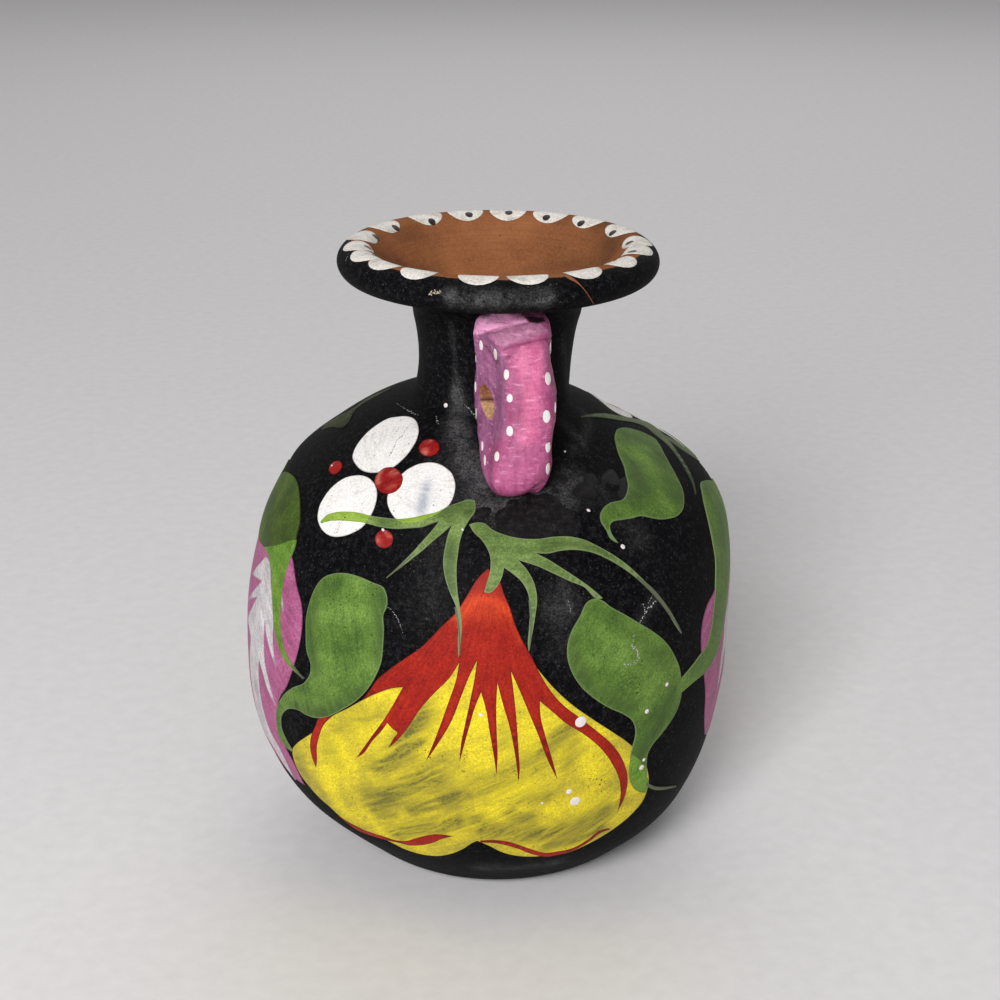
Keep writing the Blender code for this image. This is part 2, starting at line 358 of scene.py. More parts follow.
def foot_point(turn):
    """Radius and height on the foot's rounded edge at a turn from the floor."""
    edge = FOOT_EDGE_ROUNDING
    return FOOT_RADIUS - edge + edge * math.sin(turn), edge - edge * math.cos(turn)


def wall_section():
    """(radius, height) rows from the foot's middle out, up, over the lip and down inside to the middle."""
    widest = belly_radius - PAINT_ROOM
    shoulder_rise = neck_root_height - BELLY_HEIGHT
    down = reach_to(BELLY_HEIGHT, FOOT_RADIUS, widest, BASE_FULLNESS)
    up = reach_to(shoulder_rise, NECK_ROOT_RADIUS, widest, SHOULDER_FULLNESS)
    outer = belly_curve(widest, down, up)
    inner_widest = belly_radius - BODY_WALL
    inner_up = reach_to(shoulder_rise - INNER_SHOULDER_DROP, BORE_RADIUS, inner_widest, SHOULDER_FULLNESS)
    inner = belly_curve(inner_widest, BELLY_HEIGHT - BASE_THICKNESS, inner_up)

    sole = [(0, 0), (FOOT_RADIUS - FOOT_EDGE_ROUNDING, 0)]
    foot_edge = [foot_point(math.pi / 2 * step / FOOT_EDGE_STEPS) for step in range(FOOT_EDGE_STEPS + 1)]
    belly = [(outer(z), z) for z in np.linspace(FOOT_EDGE_ROUNDING, neck_root_height, BELLY_SAMPLES)]
    neck = [(neck_radius(z), z) for z in np.linspace(neck_root_height, neck_top_height, NECK_SAMPLES)]
    lip = [lip_point(turn) for turn in np.linspace(-LIP_OUTER_TURN, LIP_INNER_TURN, LIP_SAMPLES)]
    throat = (BORE_RADIUS, neck_top_height - THROAT_DROP)
    bore_foot = (BORE_RADIUS, neck_root_height - INNER_SHOULDER_DROP)
    hollow = [(inner(z), z) for z in np.linspace(bore_foot[1], BASE_THICKNESS, HOLLOW_SAMPLES)]
    runs = (
        (sole, FLAT_ROW),
        (foot_edge, FOOT_EDGE_ROW),
        (belly, OUTER_ROW),
        (neck, OUTER_ROW),
        ([neck[-1], *((r * MM, z * MM) for r, z in UNDER_RIM), lip[0]], OUTER_ROW),
        (lip, LIP_ROW),
        ([lip[-1], throat], OUTER_ROW),
        ([throat, bore_foot], INNER_ROW),
        (hollow, INNER_ROW),
        ([hollow[-1], (0, BASE_THICKNESS)], FLAT_ROW),
    )
    rows = [(0.0, 0.0)]
    for run, row in runs:
        rows += spaced(run, row)[1:]
    return rows


def highest(rows):
    """The number of the highest row."""
    return max(range(len(rows)), key=lambda i: rows[i][1])


def straying(rows):
    """The section's rows with the hand's swelling added where the wall is free to swell."""
    crest = highest(rows)
    strayed = []
    for i, (radius, height) in enumerate(rows):
        swell = by_height(SWELL, height) * MM
        if i > crest:
            swell = min(0.0, swell)
        strayed.append((max(0.0, radius + swell * min(1.0, radius / SWELL_WHOLE_FROM)), height))
    return strayed


section = straying(wall_section())
section_radii, section_heights = np.array(section).T
lengths = walked(section)
leans = np.array([by_height(LEAN, height) * MM for height in section_heights])
tilts = np.array([math.radians(by_height(TILT_DEGREES, height)) for height in section_heights])
crest_row = highest(section)
crest_length = lengths[crest_row]


def row_at(height, inner=False):
    """The row of the section that is nearest to a height on the outside or the inside."""
    rows = range(crest_row, len(section)) if inner else range(crest_row + 1)
    return min(rows, key=lambda i: (abs(section[i][1] - height), i if inner else -i))


def section_object():
    """The section as a line of points in the XZ plane, with the hand's lean and tilt on each point."""
    mesh = bpy.data.meshes.new("section")
    points = [(radius, 0.0, height) for radius, height in section]
    mesh.from_pydata(points, [(i, i + 1) for i in range(len(points) - 1)], [])
    put_attribute(mesh, "stray", np.stack([leans, tilts, 0 * leans], 1), "FLOAT_VECTOR")
    return stand_alone("section", mesh)


section_line = section_object()


# Node building

# The inputs that every geometry tree has, beside its own
WALL_SOCKETS = {"Section": "NodeSocketObject", "Roll Radius": "NodeSocketFloat"}


def node(tree, kind, inputs=None, **settings):
    """A node with its settings, and with its inputs linked or set."""
    made = tree.nodes.new(kind)
    for name, value in settings.items():
        setattr(made, name, value)
    for name, value in (inputs or {}).items():
        if isinstance(value, bpy.types.NodeSocket):
            tree.links.new(value, made.inputs[name])
        else:
            made.inputs[name].default_value = value
    return made


def calc(tree, operation, *values):
    """A Math node's result."""
    return node(tree, "ShaderNodeMath", dict(enumerate(values)), operation=operation).outputs[0]


def parts_of(tree, vector):
    """A vector's X, Y and Z."""
    return node(tree, "ShaderNodeSeparateXYZ", {0: vector}).outputs


def node_group(name, **kinds):
    """A geometry tree with the wall's sockets and sockets of its own, and its two end nodes."""
    tree = bpy.data.node_groups.new(name, "GeometryNodeTree")
    tree.interface.new_socket("Geometry", in_out="OUTPUT", socket_type="NodeSocketGeometry")
    for label, kind in {"Geometry": "NodeSocketGeometry", **WALL_SOCKETS, **kinds}.items():
        tree.interface.new_socket(label, in_out="INPUT", socket_type=kind)
    return tree, tree.nodes.new("NodeGroupInput").outputs, tree.nodes.new("NodeGroupOutput").inputs


def attribute(tree, name, data_type="FLOAT"):
    """A named attribute's value in a geometry tree."""
    made = node(tree, "GeometryNodeInputNamedAttribute", {"Name": name}, data_type=data_type)
    return made.outputs["Attribute"]


def wrap_group():
    """Lays flat geometry on the leaning wall: x runs across, y up the section and z off the clay."""
    tree, given, made = node_group("lay on the turned wall")
    section_info = node(tree, "GeometryNodeObjectInfo", {"Object": given["Section"]})
    curve = node(tree, "GeometryNodeMeshToCurve", {"Mesh": section_info.outputs["Geometry"]}).outputs[0]
    place = parts_of(tree, node(tree, "GeometryNodeInputPosition").outputs[0])
    keep = node(tree, "GeometryNodeStoreNamedAttribute",
                {"Geometry": given["Geometry"], "Name": "along", "Value": place["Y"]}, data_type="FLOAT")
    sample = node(tree, "GeometryNodeSampleCurve",
                  {"Curves": curve, "Value": attribute(tree, "stray", "FLOAT_VECTOR"), "Length": place["Y"]},
                  data_type="FLOAT_VECTOR", mode="LENGTH", use_all_curves=True)
    at = parts_of(tree, sample.outputs["Position"])
    way = parts_of(tree, sample.outputs["Tangent"])
    stray = parts_of(tree, sample.outputs[0])
    angle = calc(tree, "DIVIDE", place["X"], given["Roll Radius"])
    radius = calc(tree, "MULTIPLY_ADD", way["Z"], place["Z"], at["X"])
    height = calc(tree, "SUBTRACT", at["Z"], calc(tree, "MULTIPLY", way["X"], place["Z"]))
    across = calc(tree, "MULTIPLY", radius, calc(tree, "SINE", angle))
    depth = calc(tree, "MULTIPLY", radius, calc(tree, "COSINE", angle))
    tilted = calc(tree, "SUBTRACT", height, calc(tree, "MULTIPLY", stray["Y"], across))
    leaning = calc(tree, "ADD", across, stray["X"])
    forwards = calc(tree, "MULTIPLY", depth, -1.0)
    level = node(tree, "ShaderNodeCombineXYZ", {0: leaning, 1: forwards, 2: tilted})
    faced = node(tree, "ShaderNodeVectorRotate", {"Vector": level.outputs[0], "Angle": CAMERA_AZIMUTH},
                 rotation_type="Z_AXIS")
    placed = node(tree, "GeometryNodeSetPosition",
                  {"Geometry": keep.outputs[0], "Position": faced.outputs[0]})
    tree.links.new(placed.outputs[0], made[0])
    return tree


wrap = wrap_group()


def laid(tree, geometry, given):
    """Flat geometry laid on the wall, inside a tree that has the wall's sockets."""
    inputs = {"Geometry": geometry} | {label: given[label] for label in WALL_SOCKETS}
    return node(tree, "GeometryNodeGroup", inputs, node_tree=wrap).outputs[0]


def hand_over(tree, geometry, given, made):
    """Ends a tree with its geometry in its finish."""
    inputs = {"Geometry": geometry, "Material": given["Finish"]}
    tree.links.new(node(tree, "GeometryNodeSetMaterial", inputs).outputs[0], made[0])
    return tree


def wrapped_tree():
    """A flat sheet wrapped on the wall, with its seam and poles welded."""
    tree, given, made = node_group("wrapped sheet", Weld="NodeSocketFloat", Finish="NodeSocketMaterial")
    sheet = laid(tree, given["Geometry"], given)
    welded = node(tree, "GeometryNodeMergeByDistance", {"Geometry": sheet, "Distance": given["Weld"]})
    real = node(tree, "GeometryNodeRealizeInstances", {"Geometry": welded.outputs[0]})
    return hand_over(tree, real.outputs[0], given, made)


def dabs_tree(name, on_wall):
    """A rounded dab on each point, sized by `reach` and turned by `spin`, laid on the wall or left there."""
    tree, given, made = node_group(name, Fineness="NodeSocketInt", Finish="NodeSocketMaterial")
    ball = node(tree, "GeometryNodeMeshIcoSphere", {"Radius": 1.0, "Subdivisions": given["Fineness"]})
    points = node(tree, "GeometryNodeInstanceOnPoints",
                  {"Points": given["Geometry"], "Instance": ball.outputs[0],
                   "Rotation": attribute(tree, "spin", "FLOAT_VECTOR"),
                   "Scale": attribute(tree, "reach", "FLOAT_VECTOR")})
    real = node(tree, "GeometryNodeRealizeInstances", {"Geometry": points.outputs[0]}).outputs[0]
    if on_wall:
        real = laid(tree, real, given)
    smooth = node(tree, "GeometryNodeSetShadeSmooth", {"Geometry": real})
    return hand_over(tree, smooth.outputs[0], given, made)


wrapped = wrapped_tree()
dabs_on_wall = dabs_tree("dabs on the wall", True)
dabs_on_ear = dabs_tree("dots on an ear", False)


def grown(name, mesh, tree, **values):
    """The mesh that a geometry tree makes out of a mesh, as a plain object."""
    values |= {"Section": section_line, "Roll Radius": belly_radius}
    source = stand_alone(name + "_source", mesh)
    modifier = source.modifiers.new("tree", "NODES")
    modifier.node_group = tree
    for item in tree.interface.items_tree:
        if item.in_out == "INPUT" and item.name in values:
            modifier[item.identifier] = values[item.name]
    made = evaluated(source)
    made.name = name
    return stand_alone(name, made)


def flat_sheet(rows, name):
    """A flat grid of the wall: one row of points for each row of the section that it names."""
    across = (np.arange(WALL_SEGMENTS + 1) / WALL_SEGMENTS - 0.5) * 2 * math.pi * belly_radius
    points = [(x, lengths[row], 0.0) for row in rows for x in across]
    wide = WALL_SEGMENTS + 1
    faces = []
    for i in range(len(rows) - 1):
        for j in range(WALL_SEGMENTS):
            corner = i * wide + j
            faces.append((corner, corner + 1, corner + wide + 1, corner + wide))
    mesh = bpy.data.meshes.new(name)
    mesh.from_pydata(points, [], faces)
    return mesh


# The whole wall, kept to find what a line of sight meets and which way the clay faces
whole_wall = grown("whole_wall", flat_sheet(range(len(section)), "whole_wall"), wrapped, Weld=WALL_WELD)
wall_points = [vertex.co.copy() for vertex in whole_wall.data.vertices]
wall_normals = [vertex.normal.copy() for vertex in whole_wall.data.vertices]
wall_faces = [tuple(face.vertices) for face in whole_wall.data.polygons]
wall_along = np.zeros(len(wall_points), np.float32)
whole_wall.data.attributes["along"].data.foreach_get("value", wall_along)
wall_tree = BVHTree.FromPolygons(wall_points, wall_faces)
wall_finder = KDTree(len(wall_points))
for index, point in enumerate(wall_points):
    wall_finder.insert(point, index)
wall_finder.balance()
bpy.data.objects.remove(whole_wall)


# Lines of sight, and the flat chart that they fall on: x in mm round the belly, y in mm along the section

camera_turn = Matrix.Rotation(CAMERA_AZIMUTH, 3, "Z")
camera_aim = camera_turn @ Matrix.Rotation(-CAMERA_PITCH, 3, "X")
camera_place = camera_turn @ Vector((CAMERA_SIDESTEP, -CAMERA_RANGE, CAMERA_HEIGHT))


def sighted(tree, x, y, middle, nudge):
    """What the line of sight through a pixel meets. A pixel that just misses is drawn in to the middle."""
    for _ in range(SIGHT_TRIES):
        sideways = (x - PHOTO_SIZE / 2) / FOCAL_LENGTH_PIXELS
        upwards = (PHOTO_SIZE / 2 - y) / FOCAL_LENGTH_PIXELS
        way = (camera_aim @ Vector((sideways, 1.0, upwards))).normalized()
        hit, normal, face, _ = tree.ray_cast(camera_place, way)
        if hit:
            return hit, normal, face, way
        x += math.copysign(nudge[0], middle[0] - x)
        y += math.copysign(nudge[1], middle[1] - y)
    raise ValueError("no line of sight meets the jug near this pixel")


def pixels_of(points):
    """Where points fall in the photograph."""
    seen_from = (points - np.array(camera_place)) @ np.array(camera_aim)
    scale = FOCAL_LENGTH_PIXELS / seen_from[:, 1]
    return PHOTO_SIZE / 2 + np.stack([seen_from[:, 0] * scale, -seen_from[:, 2] * scale], 1)


def on_chart(x, y, side=0.0):
    """The chart place under a pixel, by the turn of the chart that is nearest to a side."""
    hit, _, face, _ = sighted(wall_tree, x, y, PHOTO_MIDDLE, OUTLINE_NUDGE)
    corners = wall_faces[face]
    weights = poly_3d_calc([wall_points[corner] for corner in corners], hit)
    along = sum(weight * wall_along[corner] for weight, corner in zip(weights, corners))
    level = Matrix.Rotation(-CAMERA_AZIMUTH, 3, "Z") @ Vector(hit)
    angle = math.atan2(level.x - np.interp(along, lengths, leans), -level.y)
    angle = side + (angle - side + math.pi) % (2 * math.pi) - math.pi
    return angle * belly_radius / MM, along / MM


def round_belly(degrees):
    """Degrees round the jug as mm across the chart."""
    return math.radians(degrees) * belly_radius / MM


def seen(points):
    """Chart places of an outline's pixels, each with its mark where it is a corner."""
    return [(*on_chart(*point[:2]), len(point) > 2) for point in points]


def hidden(points):
    """Chart places of points in degrees round the jug and mm along the section, each with its corner mark."""
    return [(round_belly(point[0]), point[1], len(point) > 2) for point in points]


def turned(shape, degrees):
    """A shape moved round the jug."""
    return shape + np.array((round_belly(degrees), 0.0))


def flowing(points, step, sharp=None, closed=False):
    """A smooth line through points, with corners where sharp says, and a point about every step."""
    points = np.array(points, float)
    count = len(points)
    sharp = sharp or [False] * count
    line = []
    for i in range(count if closed else count - 1):
        here, there = points[i], points[(i + 1) % count]
        run = np.linalg.norm((there - here)[:2])
        ways = []
        for at, before, after in ((i, i - 1, i + 1), (i + 1, i, i + 2)):
            at, before, after = (at % count, before % count, after % count) if closed else (at, before, after)
            if sharp[at] or before < 0 or after >= count:
                ways.append(None)
                continue
            ahead, back = points[after] - points[at], points[at] - points[before]
            far, near = np.linalg.norm(ahead[:2]), np.linalg.norm(back[:2])
            ways.append((ahead / far * near + back / near * far) / (far + near) * run)
        chord = there - here
        if ways[0] is None:
            ways[0] = chord if ways[1] is None else 1.5 * chord - 0.5 * ways[1]
        if ways[1] is None:
            ways[1] = 1.5 * chord - 0.5 * ways[0]
        for t in np.arange(0, 1, 1 / max(1, math.ceil(run / step))):
            line.append(eased(t, here, there, *ways))
    if not closed:
        line.append(points[-1])
    return np.array(line)


def outline(places):
    """A closed outline through chart places, each with its corner mark."""
    return flowing([place[:2] for place in places], EDGE_STEP, [place[2] for place in places], True)


def sides_of(points, behind=()):
    """The outline through pixels, then through places that the photograph doesn't show."""
    return outline(seen(points) + hidden(behind))


def both_sides(line, least=0.0):
    """The outline of a stroke along a line of (x, y, width), nowhere thinner than the least."""
    way = np.gradient(line[:, :2], axis=0)
    side = np.stack([-way[:, 1], way[:, 0]], 1) / np.linalg.norm(way, axis=1)[:, None]
    half = np.maximum(line[:, 2:], least) / 2
    return np.concatenate([line[:, :2] + side * half, (line[:, :2] - side * half)[::-1]])


def stroke(points):
    """The outline of a stroke through (x, y, width) pixels."""
    return np.array([on_chart(x, y) for x, y in both_sides(flowing(points, STROKE_STEP), THINNEST_STROKE)])


def chart_stroke(points, turn, flip):
    """The outline of a stroke through (degrees, mm along, width in mm), turned round the jug and mirrored."""
    line = [(round_belly(turn + flip * angle), along, wide) for angle, along, wide in points]
    return both_sides(flowing(line, EDGE_STEP))


def ellipse(x, y, wide, high, turn=0.0):
    """The outline of a round dab, by its middle, its width and height in pixels and its turn in degrees."""
    cosine, sine = math.cos(math.radians(turn)), math.sin(math.radians(turn))
    points = []
    for step in range(ROUND_DAB_POINTS):
        angle = 2 * math.pi * step / ROUND_DAB_POINTS
        across, up = wide / 2 * math.cos(angle), high / 2 * math.sin(angle)
        points.append((x + across * cosine + up * sine, y - across * sine + up * cosine))
    return sides_of(points)


def straight(degrees):
    """Brush lines that run straight across the chart."""
    cosine, sine = math.cos(math.radians(degrees)), math.sin(math.radians(degrees))

    def lines(places):
        return np.stack([places @ (cosine, sine), places @ (-sine, cosine)], 1)

    return lines


def fan_from(middle):
    """Brush lines that spread from a chart place."""

    def lines(places):
        away = places - np.array(middle)
        reach = np.linalg.norm(away, axis=1)
        return np.stack([reach, np.arctan2(away[:, 0], -away[:, 1]) * FAN_REACH], 1)

    return lines


def sides(polygon):
    """The start and end of each side of a polygon."""
    return zip(polygon, np.roll(polygon, -1, axis=0))


def inside(polygon, places):
    """Which places lie inside a polygon."""
    found = np.zeros(len(places), bool)
    for start, end in sides(polygon):
        spans = (start[1] > places[:, 1]) != (end[1] > places[:, 1])
        climb = end[1] - start[1] or NEXT_TO_NOTHING
        found ^= spans & (places[:, 0] < (places[:, 1] - start[1]) / climb * (end[0] - start[0]) + start[0])
    return found


def distance_to(polygon, places):
    """Each place's distance to the nearest side of a polygon."""
    nearest = np.full(len(places), np.inf)
    for start, end in sides(polygon):
        side = end - start
        share = np.clip((places - start) @ side / max(side @ side, NEXT_TO_NOTHING), 0, 1)
        nearest = np.minimum(nearest, np.linalg.norm(places - start - share[:, None] * side, axis=1))
    return nearest


def distance_along(line, places):
    """Each place's distance to the nearest point of a line."""
    nearest = np.full(len(places), np.inf)
    for point in line:
        nearest = np.minimum(nearest, np.linalg.norm(places - point, axis=1))
    return nearest


def soft_lines(marks, points_to_a_width):
    """Soft marks in pixels as marks on the chart: (points, width in mm, strength)."""
    found = []
    for points, width, strength in marks:
        places = np.array([on_chart(x, y) for x, y in points])
        found.append((flowing(places, width / points_to_a_width), width, strength))
    return found


def marked(places, marks):
    """How strongly each chart place is marked by soft marks."""
    found = np.zeros(len(places))
    for line, width, strength in marks:
        found = np.maximum(found, strength * np.exp(-((distance_along(line, places) / width) ** 2)))
    return found


def soft_patch(polygon, places, blur):
    """1 inside a polygon, 0 outside, and soft across its edge."""
    polygon = np.array(polygon, float)
    away = distance_to(polygon, places)
    return np.clip(0.5 + np.where(inside(polygon, places), away, -away) / blur, 0, 1)


# Films of paint

# Each film's outline, with how far its top stands off the clay in metres
painted = []


def near_enough(polygon, other, margin=0.0):
    """Whether two polygons' boxes come within a margin of each other."""
    return (polygon.min(0) <= other.max(0) + margin).all() and (other.min(0) - margin <= polygon.max(0)).all()


def counter_clockwise(polygon):
    """A polygon with its points in counter-clockwise order."""
    area = sum(a[0] * b[1] - a[1] * b[0] for a, b in sides(polygon))
    return polygon if area > 0 else polygon[::-1]


def triangles_of(shape, over, clear_of, fill):
    """Places and triangles that fill a shape, where it lies over all that it must and clear of the rest."""
    limits = [polygon for polygon in (*over, *clear_of) if near_enough(polygon, shape)]
    polygons = [counter_clockwise(polygon) for polygon in (shape, *limits)]
    low, high = shape.min(0), shape.max(0)
    rows = np.arange(low[1], high[1], fill * GRID_ROW)
    grid = [(x + fill / 2 * (i % 2), y) for i, y in enumerate(rows) for x in np.arange(low[0], high[0], fill)]
    grid = np.array(grid).reshape(-1, 2)
    grid = grid[inside(shape, grid)]
    for polygon in polygons:
        if len(grid):
            grid = grid[distance_to(polygon, grid) > fill * GRID_CLEARANCE]
    places = [Vector(place) for place in np.concatenate([*polygons, grid])]
    starts = np.cumsum([0] + [len(polygon) for polygon in polygons])
    loops = [list(range(start, end)) for start, end in zip(starts, starts[1:])]
    corners, _, faces, _, _, sources = delaunay_2d_cdt(places, [], loops, 1, CLOSE_ENOUGH)
    needed = {1 + i for i, polygon in enumerate(limits) if any(polygon is o for o in over)}
    barred = {1 + i for i, polygon in enumerate(limits) if any(polygon is c for c in clear_of)}
    kept = []
    for face, source in zip(faces, sources):
        found = set(source)
        if 0 in found and (not over or found & needed) and not found & barred:
            kept.append(face)
    return np.array([tuple(corner) for corner in corners]), kept


def compact(places, triangles):
    """Only the places that triangles use, with the triangles numbered to match."""
    used = sorted({corner for triangle in triangles for corner in triangle})
    renumber = {corner: i for i, corner in enumerate(used)}
    return places[used], [tuple(renumber[corner] for corner in triangle) for triangle in triangles]


def closed_film(triangles, start, count):
    """Faces of a film's top, underside and edge. The top's points come first, and then the lower ones."""
    faces, edges = [], {}
    for a, b, c in triangles:
        faces.append((start + a, start + b, start + c))
        faces.append((start + count + c, start + count + b, start + count + a))
        edges.update({(a, b): True, (b, c): True, (c, a): True})
    for a, b in edges:
        if (b, a) not in edges:
            faces.append((start + b, start + a, start + count + a, start + count + b))
    return faces


def film_mesh(name, layer, shapes, over=(), clear_of=(), shades=(), relief=RELIEF, fill=FILL_STEP):
    """Thin closed films of paint as a flat mesh, with what the finish reads: brush lines, edge and shade."""
    points, faces, brush, edge, shade = [], [], [], [], []
    for number, (shape, lines) in enumerate(shapes):
        top = (PAINT_LIFT + (layer[number] if isinstance(layer, tuple) else layer) * LAYER_LIFT) * MM
        painted.append((shape, top + relief * MM))
        places, triangles = triangles_of(shape, over, clear_of, fill)
        if not triangles:
            continue
        places, triangles = compact(places, triangles)
        count = len(places)
        faces += closed_film(triangles, len(points), count)
        depth = distance_to(shape, places)
        lift = top + relief * MM * np.minimum(1, depth / RELIEF_RUN)
        points += [(x * MM, y * MM, z) for (x, y), z in zip(places, lift)]
        points += [(x * MM, y * MM, -PAINT_SKIRT * MM) for x, y in places]
        drawn = np.column_stack([lines(places), np.full(count, float(number))])
        dimmed = marked(places, [mark for mark in shades if near_enough(mark[0], places, 2 * mark[1])])
        brush += [drawn, drawn]
        edge += [depth, depth]
        shade += [dimmed, dimmed]
    mesh = bpy.data.meshes.new(name)
    mesh.from_pydata(points, [], faces)
    put_attribute(mesh, "brush", np.concatenate(brush), "FLOAT_VECTOR")
    put_attribute(mesh, "edge", np.concatenate(edge))
    put_attribute(mesh, "shade", np.concatenate(shade))
    return mesh


def lifts_at(places):
    """How far the paint that is already on stands off the clay at each chart place, in metres."""
    lifts = np.full(len(places), PAINT_LIFT * MM)
    for shape, top in painted:
        lifts = np.where(inside(shape, places), np.maximum(lifts, top), lifts)
    return lifts


def finished(piece, slot_name, *nodes):
    """Fastens a piece to the jug and hides the nodes that it stands for; its slot name is not used."""
    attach(piece, "root")
    if nodes:
        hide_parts(*nodes)
    return piece


def paint(name, finish, slot_name, layer, shapes, **limits):
    """A piece made of films of paint."""
    flat = film_mesh(name, layer, shapes, **limits)
    piece = grown(name, flat, wrapped, Weld=FILM_WELD, Finish=finish)
    piece.data.shade_smooth()
    piece.data.set_sharp_from_angle(angle=FILM_EDGE_ANGLE)
    return finished(piece, slot_name)


# Finishes


def srgb(red, green, blue):
    """A colour as it looks on a screen, 0 to 255, as Blender's linear colour."""
    channels = [value / 255 for value in (red, green, blue)]
    linear = [c / 12.92 if c <= 0.04045 else ((c + 0.055) / 1.055) ** 2.4 for c in channels]
    return (*linear, 1.0)


def new_finish(name):
    """A material with its tree, its shader and the place that its noise is drawn in."""
    material = bpy.data.materials.new(name)
    material.use_nodes = True
    tree = material.node_tree
    return material, tree, tree.nodes["Principled BSDF"], node(tree, "ShaderNodeTexCoord").outputs["Object"]


def read(tree, name, output="Fac"):
    """A mesh attribute's value in a finish."""
    return node(tree, "ShaderNodeAttribute", attribute_name=name).outputs[output]


def cloud(tree, place, per_metre, detail=3.0, roughness=0.55, swirl=0.0):
    """Noise with a number of features to the metre, or to the millimetre where the place is in them."""
    made = node(tree, "ShaderNodeTexNoise", {"Vector": place, "Scale": per_metre, "Detail": detail,
                                             "Roughness": roughness, "Distortion": swirl})
    return made.outputs["Fac"]


def stretched(tree, place, scale, turn=(0.0, 0.0, 0.0)):
    """A place for noise that is drawn out one way."""
    return node(tree, "ShaderNodeMapping", {"Vector": place, "Scale": scale, "Rotation": turn}).outputs[0]


def rise(tree, value, low, high):
    """A smooth way from 0 at low to 1 at high, and level beyond them."""
    inputs = {"Value": value, "From Min": low, "From Max": high}
    return node(tree, "ShaderNodeMapRange", inputs, interpolation_type="SMOOTHSTEP").outputs["Result"]


def between(tree, value, low, high):
    """The value's usual noise range, 0.3 to 0.7, stretched to low and high."""
    inputs = {"Value": value, "From Min": 0.3, "From Max": 0.7, "To Min": low, "To Max": high}
    return node(tree, "ShaderNodeMapRange", inputs).outputs["Result"]


def blend(tree, share, below, above):
    """A value between two, by a share."""
    return node(tree, "ShaderNodeMix", {0: share, 2: below, 3: above}, data_type="FLOAT").outputs[0]


def tint(tree, share, below, above, mode="MIX"):
    """A colour between two, by a share."""
    inputs = {0: share, 6: below, 7: above}
    return node(tree, "ShaderNodeMix", inputs, data_type="RGBA", blend_type=mode).outputs[2]


def tones(tree, value, *stops):
    """A colour that runs through (place, colour) stops."""
    made = node(tree, "ShaderNodeValToRGB", {"Fac": value})
    band = made.color_ramp
    band.elements[0].position, band.elements[0].color = stops[0]
    band.elements[1].position, band.elements[1].color = stops[-1]
    for place, colour in stops[1:-1]:
        band.elements.new(place).color = colour
    return made.outputs["Color"]


def weighed(tree, colour, value):
    """A colour made darker or lighter by a value about 1."""
    grey = node(tree, "ShaderNodeCombineXYZ", {0: value, 1: value, 2: value}).outputs[0]
    return tint(tree, 1.0, colour, grey, "MULTIPLY")


def surface(tree, shader, colour, gloss, height, depth, roughness):
    """Gives a shader its colour and gloss, its bump in metres and its roughness."""
    bump = node(tree, "ShaderNodeBump", {"Height": height, "Distance": depth, "Strength": 1.0})
    for label, value in {"Base Color": colour, "Normal": bump.outputs[0], "Roughness": roughness}.items():
        tree.links.new(value, shader.inputs[label])
    shader.inputs["Specular IOR Level"].default_value = gloss


def clay_tones(tree, place):
    """Bare terracotta: warm mottling, fine grit, and faint rings from the wheel."""
    patches = cloud(tree, place, 90, 4)
    grit = cloud(tree, place, 2200, 2)
    ring_place = node(tree, "ShaderNodeCombineXYZ", {0: calc(tree, "MULTIPLY", read(tree, "along"), 1400.0)})
    wander = node(tree, "ShaderNodeVectorMath", {0: ring_place.outputs[0], 1: place}, operation="ADD")
    rings = cloud(tree, wander.outputs[0], 1.0, 2)
    browns = (0.32, srgb(122, 74, 45)), (0.5, srgb(142, 88, 54)), (0.68, srgb(160, 102, 64))
    body = tones(tree, patches, *browns)
    ringed = tint(tree, between(tree, rings, 0.0, 0.45), body, srgb(112, 68, 42))
    return tint(tree, between(tree, grit, 0.0, 0.3), ringed, srgb(176, 124, 88))


def make_wall_finish():
    """Worn and dusty black ground with a painted highlight along the lip's front, over terracotta that shows
    inside, on the lip's crest and below.
    """
    material, tree, shader, place = new_finish("black_ground_over_clay")
    patches = cloud(tree, place, 70, 4)
    smears = cloud(tree, place, 240, 5, 0.7)
    grain = cloud(tree, place, 1100, 5, 0.75)
    pits = cloud(tree, place, 3400, 2)
    specks = cloud(tree, place, 2300, 2)
    ground = tones(tree, grain, (0.36, srgb(4, 4, 6)), (0.5, srgb(10, 10, 12)), (0.64, srgb(33, 32, 34)))
    ground = tint(tree, between(tree, patches, 0.0, 0.2), ground, srgb(24, 23, 24))
    cloudy = calc(tree, "MULTIPLY", between(tree, smears, 0.0, 1.3), between(tree, grain, 0.5, 1.4))
    # Grey dust over the ground, and a painted highlight along the lip's front
    ground = tint(tree, calc(tree, "MULTIPLY", read(tree, "dust_and_lip_sheen"), cloudy), ground, srgb(96, 95, 96))
    chalky = calc(tree, "MULTIPLY", rise(tree, specks, 0.66, 0.74), 0.45)
    ground = tint(tree, chalky, ground, srgb(98, 96, 92))
    ground = weighed(tree, ground, between(tree, pits, 0.3, 1.75))
    ragged = calc(tree, "MULTIPLY_ADD", cloud(tree, place, 500, 3), RAGGED_EDGE, read(tree, "along"))
    lip_end = crest_length + LIP_PAINT_END
    over_lip = rise(tree, ragged, lip_end - LIP_PAINT_FADE, lip_end)
    round_foot = rise(tree, ragged, FOOT_RADIUS - FOOT_PAINT_START, FOOT_RADIUS - FOOT_PAINT_WHOLE)
    bare = calc(tree, "MAXIMUM", over_lip, calc(tree, "SUBTRACT", 1.0, round_foot))
    # Darker brown in patches on the bare clay of the mouth
    darkened = calc(tree, "MULTIPLY", read(tree, "mouth_darkening"), between(tree, smears, 0.4, 1.4))
    clay = tint(tree, darkened, clay_tones(tree, place), srgb(62, 44, 34))
    rough = calc(tree, "MULTIPLY_ADD", bare, 0.25, between(tree, grain, 0.5, 0.7))
    height = calc(tree, "ADD", calc(tree, "MULTIPLY", grain, 0.7), calc(tree, "MULTIPLY", patches, 0.9))
    surface(tree, shader, tint(tree, bare, ground, clay), 0.03, height, 0.16 * MM, rough)
    return material


